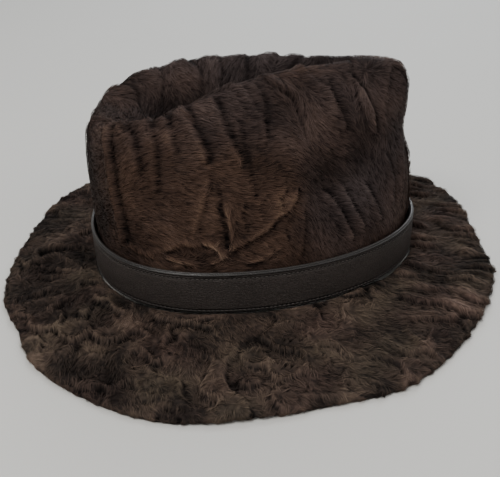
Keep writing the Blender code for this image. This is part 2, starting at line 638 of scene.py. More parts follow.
def crease(obj: bpy.types.Object, amount: float) -> None:
    """Keeps a piece's corners in a later subdivision.

    Args:
        obj: The piece.
        amount: From 0, round, to 1, sharp.
    """
    activate(obj)
    bpy.ops.object.mode_set(mode="EDIT")
    bpy.ops.mesh.select_mode(type="EDGE")
    bpy.ops.mesh.select_all(action="DESELECT")
    bpy.ops.mesh.edges_select_sharp(sharpness=math.radians(50))
    bpy.ops.transform.edge_crease(value=amount)
    bpy.ops.object.mode_set(mode="OBJECT")
    deselect()


def vertices_of(mesh: bpy.types.Mesh) -> np.ndarray:
    """The mesh's points as an (n, 3) array."""
    found = np.empty(len(mesh.vertices) * 3)
    mesh.vertices.foreach_get("co", found)
    return found.reshape(-1, 3)


def normals_of(mesh: bpy.types.Mesh) -> np.ndarray:
    """The mesh's smooth normals at its points, as an (n, 3) array."""
    found = np.empty(len(mesh.vertices) * 3)
    mesh.vertices.foreach_get("normal", found)
    return found.reshape(-1, 3)


def move_vertices(mesh: bpy.types.Mesh, points: np.ndarray) -> None:
    """Puts the mesh's points in new places.

    Args:
        mesh: The mesh.
        points: An (n, 3) array.
    """
    mesh.vertices.foreach_set("co", np.asarray(points, np.float32).ravel())
    mesh.update()


def carry(mesh: bpy.types.Mesh, field: str, values: np.ndarray) -> None:
    """Stores a number at each of the mesh's points.

    Args:
        mesh: The mesh.
        field: The numbers' name.
        values: One number for each point.
    """
    carried = mesh.attributes.new(field, "FLOAT", "POINT")
    carried.data.foreach_set("value", values.astype(np.float32))


def turn_and_radius(points: np.ndarray) -> tuple[np.ndarray, np.ndarray]:
    """Finds where points lie round the hat.

    Args:
        points: (n, 3).

    Returns:
        Each point's turn in radians, and its distance from the hat's middle line.
    """
    return np.arctan2(points[:, 1], points[:, 0]), np.hypot(points[:, 0], points[:, 1])


def unit(vectors: np.ndarray) -> np.ndarray:
    """The vectors at length 1."""
    return vectors / np.maximum(np.linalg.norm(vectors, axis=-1, keepdims=True), 1e-12)


def turned(vectors: np.ndarray, axes: np.ndarray, angles: np.ndarray) -> np.ndarray:
    """Vectors turned about unit axes that they are square to.

    Args:
        vectors: (n, 3).
        axes: (n, 3).
        angles: (n,) in radians.

    Returns:
        The turned vectors.
    """
    return vectors * np.cos(angles)[:, None] + np.cross(axes, vectors) * np.sin(angles)[:, None]


def bell(value: np.ndarray) -> np.ndarray:
    """1 at 0, falling off on both sides."""
    return np.exp(-(value**2))


def smooth_step(value: np.ndarray, low: float, high: float) -> np.ndarray:
    """0 below low and 1 above high, with a soft rise between."""
    share = np.clip((value - low) / (high - low), 0.0, 1.0)
    return share * share * (3 - 2 * share)


# Fields over the pelt


@dataclass(frozen=True)
class Ripples:
    """A smooth random field: plane waves of similar length, summed.

    Attributes:
        seed: Its random seed.
        shortest: Its shortest wave in metres.
        longest: Its longest.
        along: How much its waves run along each axis.
        count: How many waves it has.
    """

    seed: int
    shortest: float
    longest: float
    along: Point = (1.0, 1.0, 1.0)
    count: int = 36

    def _waves(self) -> tuple[np.ndarray, np.ndarray]:
        """Draws the waves.

        Returns:
            Each wave as a vector across its crests, and its phase.
        """
        rng = np.random.default_rng(self.seed)
        way = unit(rng.normal(size=(self.count, 3)) * np.array(self.along))
        length = rng.uniform(self.shortest, self.longest, self.count)
        return way * (2 * math.pi / length)[:, None], rng.uniform(0, 2 * math.pi, self.count)

    def value(self, points: np.ndarray) -> np.ndarray:
        """Its value at each point, mostly between -2 and 2."""
        ways, phases = self._waves()
        return np.sin(points @ ways.T + phases).sum(1) * math.sqrt(2 / self.count)

    def slope(self, points: np.ndarray) -> np.ndarray:
        """Its gradient at each point."""
        ways, phases = self._waves()
        return (np.cos(points @ ways.T + phases) @ ways) * math.sqrt(2 / self.count)


@dataclass(frozen=True)
class Curl:
    """A roll of the pelt that stands out in the photograph, steep on its left as it runs.

    Attributes:
        path: Points along its crest, in mm.
        half: Its half width in mm.
        height: How far it stands up in mm.
        tone: How much lighter its crest is, a painted highlight.
        groove: How much darker the groove along its steep side is, painted shade.
        out: The way that the pelt faces there, or nothing for straight out from the hat's middle.
        comb: How far its hair lies along it instead of across, from -1 to 1.
    """

    path: tuple[Point, ...]
    half: float
    height: float
    tone: float = 0.0
    groove: float = 0.22
    out: Point | None = None
    comb: float = 0.0

    STEEP = 0.45
    GAP_AT = 1.3 * STEEP + 0.25
    GAP_WIDE = 0.4
    SUNK = 0.35
    REACH = 1.6
    CLEARED = 0.8
    COMBED = 1.4
    FAR = 1.0

    def measure(self, points: np.ndarray) -> tuple[np.ndarray, np.ndarray]:
        """Finds where points lie beside the curl.

        Args:
            points: (n, 3).

        Returns:
            How far each point lies to the curl's left in half widths, and which way its hair lies.
        """
        path = np.array(self.path, float) * MM
        middle = path.mean(0) * LEVEL
        out = unit(np.array(self.out, float) if self.out else middle)
        nearest = np.full(len(points), self.FAR)
        signed = np.full(len(points), self.FAR)
        ways = np.zeros((len(points), 3))
        for low, high in zip(path[:-1], path[1:]):
            along = high - low
            share = np.clip((points - low) @ along / (along @ along), 0, 1)
            apart = points - low - share[:, None] * along
            distance = np.linalg.norm(apart, axis=1)
            left = unit(np.cross(out, along))
            closer = distance < nearest
            nearest = np.where(closer, distance, nearest)
            signed = np.where(closer, distance * np.where(apart @ left < 0, -1, 1), signed)
            ways[closer] = unit(left * (1 - abs(self.comb)) + unit(along) * self.comb)
        return signed / (self.half * MM), ways


@dataclass(frozen=True)
class Patch:
    """A patch where the hair differs, some in its own tone and some in painted shade: its middle and half
    sizes in mm.

    Attributes:
        middle: Its middle.
        half: Its half size along each axis.
        tone: How much lighter the hair is; a patch below 0 darkens it, and some of those paint shade.
        cool: How much less red it is.
        rise: How far the pelt stands out there, in mm.
    """

    middle: Point
    half: Point
    tone: float = 0.0
    cool: float = 0.0
    rise: float = 0.0

    def share(self, points: np.ndarray) -> np.ndarray:
        """How much of the patch there is at each point, from 0 to 1."""
        away = (points / MM - np.array(self.middle)) / np.array(self.half)
        return np.exp(-(away**2).sum(1))


# The coat of hair


@dataclass(frozen=True)
class LockStyle:
    """How one area's locks of hair grow. Lengths in mm, angles in degrees.

    Attributes:
        locks: How many locks.
        strands: Hairs in each lock.
        length: Shortest and longest lock.
        width: A lock's width at its root.
        hair: A hair's width at its root.
        lifts: Height over the skin at each point of a hair from its root to its tip.
        curl: How far a lock turns along its length, at most.
        gather: How far a lock's hairs come together at the tip, from 0 to 1.
        tousle: How unevenly the locks lie, in radians.
        loose: How much higher some hairs lie than others, in mm.
        lock_tone: How much the tone differs between locks.
        hair_tone: How much it differs between the hairs of a lock.
    """

    locks: int
    strands: int
    length: tuple[float, float]
    width: float
    hair: float
    lifts: tuple[float, ...]
    curl: float
    gather: float
    tousle: float = 0.22
    loose: float = 0.25
    lock_tone: float = 0.06
    hair_tone: float = 0.06


@dataclass(frozen=True)
class Tuft:
    """A few longer hairs that catch the light.

    Attributes:
        root: Where they start, in mm.
        tip: Where they end, in mm.
        spread: How wide the tuft is at its root, in mm.
        tone: How light its hair is, from 0 to 1.
        hairs: How many hairs it has.
    """

    root: Point
    tip: Point
    spread: float
    tone: float
    hairs: int = 14

    LIFTS = (0.0, 0.40, 0.60, 0.60, 0.35)
    LIFTED = (0.5, 1.2)
    WIDTH = 0.20
    WIDTHS = (0.7, 1.1)
    CLOSING = 0.15
    UNEVEN = 0.40
    BEND = 0.16
    TONE_SPREAD = 0.07
    TIP_TONE = 0.12
    COOL = 0.1

    def lines(self, rng: np.random.Generator) -> tuple[np.ndarray, np.ndarray]:
        """Draws the hairs before they are laid on the pelt.

        Args:
            rng: Random numbers.

        Returns:
            The hairs' middle lines, and the way across them.
        """
        root, tip = np.array(self.root) * MM, np.array(self.tip) * MM
        share = np.linspace(0, 1, len(self.LIFTS))
        side = unit(np.cross(root * LEVEL, tip - root))
        aside = rng.uniform(-0.5, 0.5, (self.hairs, 1)) * self.spread * MM * (1 - self.CLOSING * share)
        bend = rng.normal(size=(self.hairs, 1)) * self.BEND * np.linalg.norm(tip - root)
        aside = aside + bend * np.sin(share * math.pi)
        along = share + rng.uniform(-self.UNEVEN, self.UNEVEN, (self.hairs, 1))
        return root + along[..., None] * (tip - root) + aside[..., None] * side, side


class Coat:
    """Makes the hair of one pelt as ribbons in a few joined meshes.

    Args:
        pelt: The pelt that it grows on.
        style: How the locks grow.
        finish: The hair's material.
        seed: Random seed.
    """

    TONE = "tone"
    COOL = "cool"
    LANES = 16
    LANE_EDGES = (0.1, 0.9)
    MOST_TRIANGLES = 190_000
    SWIRL = 0.7
    STRAY = 0.4
    BEHIND = 0.6
    CLOSING = 0.8
    LIFT_LEAST = 0.75
    LIFT_SPREAD = 0.5
    FOOT_RAISED = 0.3
    CREST_LIFT = 0.5
    ROOT_TONE = 0.35
    TIP_TONE = 0.14
    TIP_FROM = 0.6
    TONES = (0.02, 0.98)
    ROLL = 0.4
    WIDTHS = (0.7, 1.25)
    FOOT_WIDTH = 0.85
    COOL_SPREAD = 0.06

    def __init__(self, pelt: "Pelt", style: LockStyle, finish: bpy.types.Material, seed: int) -> None:
        """Takes the pelt and starts the random numbers."""
        self.pelt = pelt
        self.style = style
        self.finish = finish
        self.steps = len(style.lifts)
        self.rng = np.random.default_rng(seed)

    def _guides(self) -> tuple[np.ndarray, np.ndarray, np.ndarray, np.ndarray]:
        """Lays out one middle line for each lock.

        Returns:
            The lines' points, the pelt's normals there, the ways the lines run there, and the roots' tones.
        """
        style, rng, pelt = self.style, self.rng, self.pelt
        roots, normals = pelt.scatter(style.locks, rng)
        count = len(roots)
        found = pelt.read(roots)
        way = found.way - normals * (found.way * normals).sum(1)[:, None]
        lengths = rng.uniform(*style.length, count) * MM
        swirl = self.SWIRL * pelt.swirl(roots) + self.STRAY * rng.normal(size=count)
        twist = np.radians(style.curl) * swirl
        way = turned(unit(way), normals, rng.normal(size=count) * style.tousle - twist / 2)
        places = np.empty((count, self.steps, 3))
        upward = np.empty_like(places)
        onward = np.empty_like(places)
        at, up = roots, normals
        for step in range(self.steps):
            places[:, step], upward[:, step] = at, up
            way = unit(way - up * (way * up).sum(1)[:, None])
            way = turned(way, up, twist / (self.steps - 1)) if step else way
            onward[:, step] = way
            at, up = pelt.nearest(at + way * (lengths / (self.steps - 1))[:, None])
        return places, upward, onward, found.tone

    def grow(self, name: str) -> list[bpy.types.Object]:
        """Grows the hair.

        Args:
            name: Start of the pieces' names.

        Returns:
            The pieces.
        """
        style, rng, pelt = self.style, self.rng, self.pelt
        places, upward, onward, root_tone = self._guides()
        sides = np.cross(upward, onward)
        count, number = len(places), style.strands
        share = np.linspace(0, 1, self.steps)
        aside = rng.uniform(-0.5, 0.5, (count, number)) * style.width * MM
        behind = rng.uniform(-self.BEHIND, self.BEHIND, (count, number)) * style.width * MM
        raised = rng.uniform(0, style.loose, (count, number)) * MM
        closing = 1 - style.gather * share**self.CLOSING
        base = (
            places[:, None]
            + sides[:, None] * (aside[..., None] * closing)[..., None]
            + onward[:, None] * behind[..., None, None]
        )
        found = pelt.read(base.reshape(-1, 3))
        crest, calm, height = (
            values.reshape(base.shape[:3]) for values in (found.crest, found.calm, found.height)
        )
        lift = np.array(style.lifts) * MM
        uneven = self.LIFT_LEAST + self.LIFT_SPREAD * rng.random((count, 1, 1))
        lift = lift * uneven + raised[..., None] * (self.FOOT_RAISED + share)
        stood = height + lift * (1 + self.CREST_LIFT * crest) * calm
        points = base + upward[:, None] * stood[..., None]
        points = pelt.kept_clear(points.reshape(-1, 3)).reshape(points.shape)

        lock_tone = style.lock_tone * rng.normal(size=(count, 1, 1))
        hair_tone = style.hair_tone * rng.normal(size=(count, number, 1))
        tone = self.ROOT_TONE * root_tone[:, None, None]
        tone = tone + (1 - self.ROOT_TONE) * found.tone.reshape(crest.shape)
        tone = tone + lock_tone + hair_tone + self.TIP_TONE * (share - self.TIP_FROM)
        roll = rng.normal(size=(count, number)) * self.ROLL
        cross = (
            sides[:, None] * np.cos(roll)[..., None, None]
            + upward[:, None] * np.sin(roll)[..., None, None]
        )
        half = 0.5 * style.hair * MM * rng.uniform(*self.WIDTHS, (count, number))
        taper = np.sqrt(np.maximum(1 - share**2, 0)) * np.where(share > 0, 1.0, self.FOOT_WIDTH)
        half = half[..., None] * taper
        cool = found.cool.reshape(crest.shape)[..., 0] + self.COOL_SPREAD * rng.normal(size=(count, 1))
        shape = (count * number, self.steps)
        return self._pieces(
            name,
            points.reshape(*shape, 3),
            cross.reshape(*shape, 3),
            half.reshape(shape),
            np.clip(tone, *self.TONES).reshape(shape),
            np.clip(cool, 0, 1).ravel(),
        )

    def lay(self, name: str, tufts: Sequence[Tuft]) -> bpy.types.Object:
        """Lays single tufts on the pelt.

        Args:
            name: The piece's name.
            tufts: The tufts.

        Returns:
            The piece.
        """
        steps = len(Tuft.LIFTS)
        share = np.linspace(0, 1, steps)
        lines, sides, tones = [], [], []
        for tuft in tufts:
            line, side = tuft.lines(self.rng)
            lines.append(line)
            sides.append(np.broadcast_to(side, line.shape))
            tones.append(np.full(tuft.hairs, tuft.tone))
        tone = np.concatenate(tones)[:, None]
        tone = tone + Tuft.TONE_SPREAD * self.rng.normal(size=tone.shape)
        places, up = self.pelt.nearest(np.concatenate(lines).reshape(-1, 3))
        height = self.pelt.read(places).height.reshape(-1, steps)
        lift = np.array(Tuft.LIFTS) * MM * self.rng.uniform(*Tuft.LIFTED, tone.shape)
        points = places + up * (height + lift).reshape(-1, 1)
        half = 0.5 * Tuft.WIDTH * MM * np.sqrt(1 - share**2) * self.rng.uniform(*Tuft.WIDTHS, tone.shape)
        return self._ribbons(
            name,
            self.pelt.kept_clear(points).reshape(-1, steps, 3),
            np.concatenate(sides),
            half,
            np.clip(tone + Tuft.TIP_TONE * (share - 0.5), *self.TONES),
            np.full(len(tone), Tuft.COOL),
        )

    def _pieces(self, name: str, *fields: np.ndarray) -> list[bpy.types.Object]:
        """Splits the ribbons into pieces of a fair size and builds each.

        Args:
            name: Start of the pieces' names.
            fields: What _ribbons takes, ribbon by ribbon.

        Returns:
            The pieces.
        """
        most = self.MOST_TRIANGLES // (2 * self.steps - 3)
        parts = math.ceil(len(fields[0]) / most)
        shares = zip(*(np.array_split(field, parts) for field in fields))
        return [self._ribbons(f"{name}_{number}", *share) for number, share in enumerate(shares, 1)]

    def _ribbons(
        self,
        name: str,
        points: np.ndarray,
        cross: np.ndarray,
        half: np.ndarray,
        tone: np.ndarray,
        cool: np.ndarray,
    ) -> bpy.types.Object:
        """One joined mesh of tapered ribbons that end in a point.

        Args:
            name: The piece's name.
            points: Each ribbon's middle line.
            cross: Which way it is wide at each point.
            half: Its half width there.
            tone: Its tone there.
            cool: How far from red each ribbon is.

        Returns:
            The piece.
        """
        count, steps = tone.shape
        wide = steps - 1
        left = points[:, :wide] - cross[:, :wide] * half[:, :wide, None]
        right = points[:, :wide] + cross[:, :wide] * half[:, :wide, None]
        body = np.stack([left, right], 2).reshape(count, wide * 2, 3)
        corners = np.concatenate([body, points[:, -1:]], 1).reshape(-1, 3)
        each = wide * 2 + 1
        start = (np.arange(count) * each)[:, None]
        quads = [np.array((2 * k, 2 * k + 1, 2 * k + 3, 2 * k + 2)) for k in range(wide - 1)]
        tip = np.array((each - 3, each - 2, each - 1))
        faces = np.concatenate([start + q for q in quads] + [start + tip], 1)
        loops = faces.ravel()
        sizes = np.tile([4] * (wide - 1) + [3], count)
        mesh = bpy.data.meshes.new(name)
        mesh.vertices.add(len(corners))
        mesh.vertices.foreach_set("co", corners.astype(np.float32).ravel())
        mesh.loops.add(len(loops))
        mesh.loops.foreach_set("vertex_index", loops.astype(np.int32))
        mesh.polygons.add(len(sizes))
        begins = np.concatenate([[0], np.cumsum(sizes)[:-1]])
        mesh.polygons.foreach_set("loop_start", begins.astype(np.int32))
        mesh.update(calc_edges=True)
        tones = np.concatenate([np.repeat(tone[:, :wide], 2, 1), tone[:, -1:]], 1).ravel()
        carry(mesh, self.TONE, tones)
        carry(mesh, self.COOL, np.repeat(cool, each))
        lanes = np.round(cool * (self.LANES - 1))
        edge = np.array([*self.LANE_EDGES] * wide + [0.5])
        across = ((lanes[:, None] + edge) / self.LANES).ravel()
        chart = mesh.uv_layers.new(name="OFBake")
        chart.data.foreach_set("uv", np.stack([tones[loops], across[loops]], 1).astype(np.float32).ravel())
        mesh.polygons.foreach_set("use_smooth", np.ones(len(sizes), bool))
        mesh.materials.append(self.finish)
        return placed(name, mesh)


# Pelts


class Ring:
    """The inner and outer outline of a ring, as a radius at each turn round the hat.

    Args:
        node: The node that it is read from.
    """

    PARTS = 72

    def __init__(self, node: str) -> None:
        """Measures the node."""
        points = vertices_of(frame["nodes"][node].data)
        turn, radius = turn_and_radius(points)
        bins = np.linspace(-math.pi, math.pi, self.PARTS + 1)
        which = np.digitize(turn, bins)
        middles, inner, outer = [], [], []
        for number in range(1, len(bins)):
            here = which == number
            if here.any():
                middles.append((bins[number - 1] + bins[number]) / 2)
                inner.append(radius[here].min())
                outer.append(radius[here].max())
        self.turns, self.inner, self.outer = np.array(middles), np.array(inner), np.array(outer)

    def radius(self, turn: np.ndarray, outside: bool) -> np.ndarray:
        """The outer or inner radius at each turn in radians."""
        side = self.outer if outside else self.inner
        return np.interp(turn, self.turns, side, period=2 * math.pi)


@dataclass
class Reading:
    """What the pelt is like at each of some points.

    Attributes:
        height: How far it stands out from the CAD surface, in metres.
        bulk: How much of that both its sides share.
        crest: How near each point is to a crest, from 0 to 1.
        calm: 1 where hair may stand up, and less where it has to lie flat.
        tone: How light the hair is, from 0 to 1, with painted highlights on crests and painted shade in
            grooves and in some patches.
        cool: How far from red it is, from 0 to 1.
        way: Which way the hair lies.
    """

    height: np.ndarray
    bulk: np.ndarray
    crest: np.ndarray
    calm: np.ndarray
    tone: np.ndarray
    cool: np.ndarray
    way: np.ndarray


@dataclass(frozen=True)
class Rolls:
    """The look of a pattern of rolls: mm, and parts of the pattern's own wave.

    Attributes:
        height: A roll's height in mm.
        wide: Its width on the soft side.
        steep: Its width on the steep side.
        sunk: Depth of the groove along the steep side, as a part of the height.
        tone: How much lighter a crest is, a painted highlight.
        dark: How much darker a groove is, painted shade.
        groove_at: How far the groove lies from the crest, in widths of the steep side.
        groove_wide: Its half width, in the same.
        combed: How strongly the hair is combed down the roll.
    """

    height: float
    wide: float
    steep: float
    sunk: float
    tone: float
    dark: float
    groove_at: float = 1.5
    groove_wide: float = 0.6
    combed: float = 1.2


class Pelt:
    """A pelt laid over a CAD node: its skin as a mesh, and the fields that its hair follows.

    Args:
        node: The node.
        name: The skin's name.
    """

    CURLS: tuple[Curl, ...] = ()
    PATCHES: tuple[Patch, ...] = ()
    TUFTS: tuple[Tuft, ...] = ()
    ROLLS: Rolls
    KEEPS_SKIN = False
    SWIRL = Ripples(71, 0.018, 0.040)
    SWIRL_SHARE = 0.7
    NORMAL_BLEND = 0.0004
    FOOT_DARKER = 0.10

    def __init__(self, node: str, name: str) -> None:
        """Copies the node's mesh, refines it and reads its hairy side."""
        self.node = node
        self.object = copy_of_node(node, name)
        self.mark_sides(self.object.data)
        subdivide(self.object, 1)
        self._refine()
        mesh = self.object.data
        self.points = vertices_of(mesh)
        self.normals = normals_of(mesh)
        faces = [tuple(face.vertices) for face in mesh.polygons if face.material_index == 0]
        self.faces = [part for face in faces for part in self._quads(face)]
        self.tree = BVHTree.FromPolygons([Vector(p) for p in self.points], self.faces)
        self.corners = np.array([face if len(face) == 4 else (*face, face[2]) for face in self.faces])

    @staticmethod
    def _quads(face: tuple[int, ...]) -> list[tuple[int, ...]]:
        """Parts a face.

        Args:
            face: Its corners.

        Returns:
            Parts of at most four corners.
        """
        if len(face) <= 4:
            return [face]
        return [(face[0], *face[k : k + 3]) for k in range(1, len(face) - 1, 2)]

    def _refine(self) -> None:
        """Divides the hairy side twice more, the second time where the pattern is fine."""
        obj = self.object
        activate(obj)
        for fine in (False, True):
            bpy.ops.object.mode_set(mode="EDIT")
            bpy.ops.mesh.select_mode(type="FACE")
            bpy.ops.mesh.select_all(action="DESELECT")
            bpy.ops.object.mode_set(mode="OBJECT")
            for face in obj.data.polygons:
                face.select = face.material_index == 0 and (not fine or self.is_fine(face.center))
            bpy.ops.object.mode_set(mode="EDIT")
            bpy.ops.mesh.subdivide(number_cuts=1)
            bpy.ops.object.mode_set(mode="OBJECT")
        deselect()

    def is_fine(self, point: Vector) -> bool:
        """Whether the skin needs small faces at a point."""
        return True

    def mark_sides(self, mesh: bpy.types.Mesh) -> None:
        """Gives faces without hair material index 1."""
        raise NotImplementedError

    def nearest(self, points: np.ndarray) -> tuple[np.ndarray, np.ndarray]:
        """The nearest places on the skin, and the smooth normals there.

        Args:
            points: (n, 3).

        Returns:
            Both as (n, 3) arrays.
        """
        places = np.empty_like(points)
        which = np.empty(len(points), int)
        for number, point in enumerate(points):
            place, _, face, _ = self.tree.find_nearest(Vector(point))
            places[number] = place
            which[number] = face
        corners = self.corners[which]
        away = np.linalg.norm(self.points[corners] - places[:, None], axis=2)
        weight = 1 / (away + self.NORMAL_BLEND) ** 2
        normals = (self.normals[corners] * weight[..., None]).sum(1)
        return places, unit(normals)

    def scatter(self, count: int, rng: np.random.Generator) -> tuple[np.ndarray, np.ndarray]:
        """Spreads roots over the hairy side.

        Args:
            count: How many are tried.
            rng: Random numbers.

        Returns:
            Places and normals.
        """
        a, b, c, d = (self.points[self.corners[:, k]] for k in range(4))
        first = np.linalg.norm(np.cross(b - a, c - a), axis=1)
        second = np.linalg.norm(np.cross(c - a, d - a), axis=1)
        area = (first + second) * self.density((a + b + c + d) / 4)
        spots = (np.arange(count) + rng.random(count)) / count * area.sum()
        which = np.minimum(np.searchsorted(np.cumsum(area), spots), len(area) - 1)
        u, v = rng.random(count)[:, None], rng.random(count)[:, None]
        a, b, c, d = a[which], b[which], c[which], d[which]
        places, normals = self.nearest((a * (1 - u) + b * u) * (1 - v) + (d * (1 - u) + c * u) * v)
        keep = self.density(places) > 0
        return places[keep], normals[keep]

    def density(self, points: np.ndarray) -> np.ndarray:
        """How thickly locks stand."""
        raise NotImplementedError

    def pattern(self, points: np.ndarray) -> tuple[np.ndarray, np.ndarray, np.ndarray]:
        """The pattern's wave, its slope, and how strong the pattern is."""
        raise NotImplementedError

    def lie(self, points: np.ndarray) -> np.ndarray:
        """Which way hair lies where there is no roll."""
        raise NotImplementedError

    def calm(self, points: np.ndarray) -> np.ndarray:
        """1 where hair may stand up, and less where it has to lie flat."""
        raise NotImplementedError

    def plain_tone(self, points: np.ndarray) -> np.ndarray:
        """How light the hair is apart from rolls, curls and patches."""
        raise NotImplementedError

    def read(self, points: np.ndarray) -> Reading:
        """Reads the pelt's fields.

        Args:
            points: (n, 3).

        Returns:
            The reading at those points.
        """
        rolls = self.ROLLS
        wave, slope, strength = self.pattern(points)
        crest = bell(wave / np.where(wave > 0, rolls.wide, rolls.steep)) * strength
        groove = bell((wave + rolls.groove_at * rolls.steep) / (rolls.groove_wide * rolls.steep)) * strength
        height = (crest - rolls.sunk * groove) * rolls.height * MM
        # Painted highlight on the crests and painted shade in the grooves.
        tone = self.plain_tone(points) + rolls.tone * crest - rolls.dark * groove
        combed = rolls.combed * strength * bell(wave / (2 * rolls.wide))
        way = self.lie(points) - unit(slope) * combed[:, None]
        for curl in self.CURLS:
            across, way_there = curl.measure(points)
            near = bell(across / curl.REACH)
            body = bell(across / np.where(across > 0, curl.STEEP, 1.0))
            gap = bell((across - curl.GAP_AT) / curl.GAP_WIDE)
            height = height * (1 - curl.CLEARED * near) + (body - curl.SUNK * gap) * curl.height * MM
            crest = crest * (1 - near) + body
            # Painted highlight on the curl's crest and painted shade in the groove beside it.
            tone = tone + curl.tone * body - curl.groove * gap
            way = way + way_there * (curl.COMBED * near)[:, None]
        cool = self.plain_cool(points, crest)
        bulk = np.zeros(len(points))
        for patch in self.PATCHES:
            share = patch.share(points)
            tone = tone + patch.tone * share
            cool = cool + patch.cool * share
            bulk = bulk + patch.rise * MM * share
        calm = self.calm(points)
        crest = np.clip(crest, 0, 1)
        return Reading(height * calm + bulk, bulk, crest, calm, tone, np.clip(cool, 0, 1), way)

    def plain_cool(self, points: np.ndarray, crest: np.ndarray) -> np.ndarray:
        """How far from red the hair is apart from patches."""
        raise NotImplementedError

    def swirl(self, points: np.ndarray) -> np.ndarray:
        """Which way locks curl, mostly between -1 and 1."""
        return self.SWIRL_SHARE * self.SWIRL.value(points)

    def kept_clear(self, points: np.ndarray) -> np.ndarray:
        """Points moved out of neighbouring pieces."""
        raise NotImplementedError

    def dress(self, outside: bpy.types.Material, inside: bpy.types.Material, sunk: float) -> None:
        """Shapes the skin and gives it its materials.

        Args:
            outside: For the hairy side.
            inside: For the other side.
            sunk: How far the skin lies under the hair's foot, in metres.
        """
        mesh = self.object.data
        hairy = np.zeros(len(self.points), bool)
        hairy[np.unique(self.corners)] = True
        found = self.read(self.points)
        rise = np.where(hairy, found.height - sunk * found.calm, -found.bulk)
        moved = self.points + self.normals * rise[:, None]
        move_vertices(mesh, self.kept_clear(moved) if self.KEEPS_SKIN else moved)
        carry(mesh, Coat.TONE, found.tone - self.FOOT_DARKER)
        carry(mesh, Coat.COOL, found.cool)
        mesh.materials.append(outside)
        mesh.materials.append(inside)
        mesh.polygons.foreach_set("use_smooth", np.ones(len(mesh.polygons), bool))
        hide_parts(self.node)
        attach(self.object, BODY)


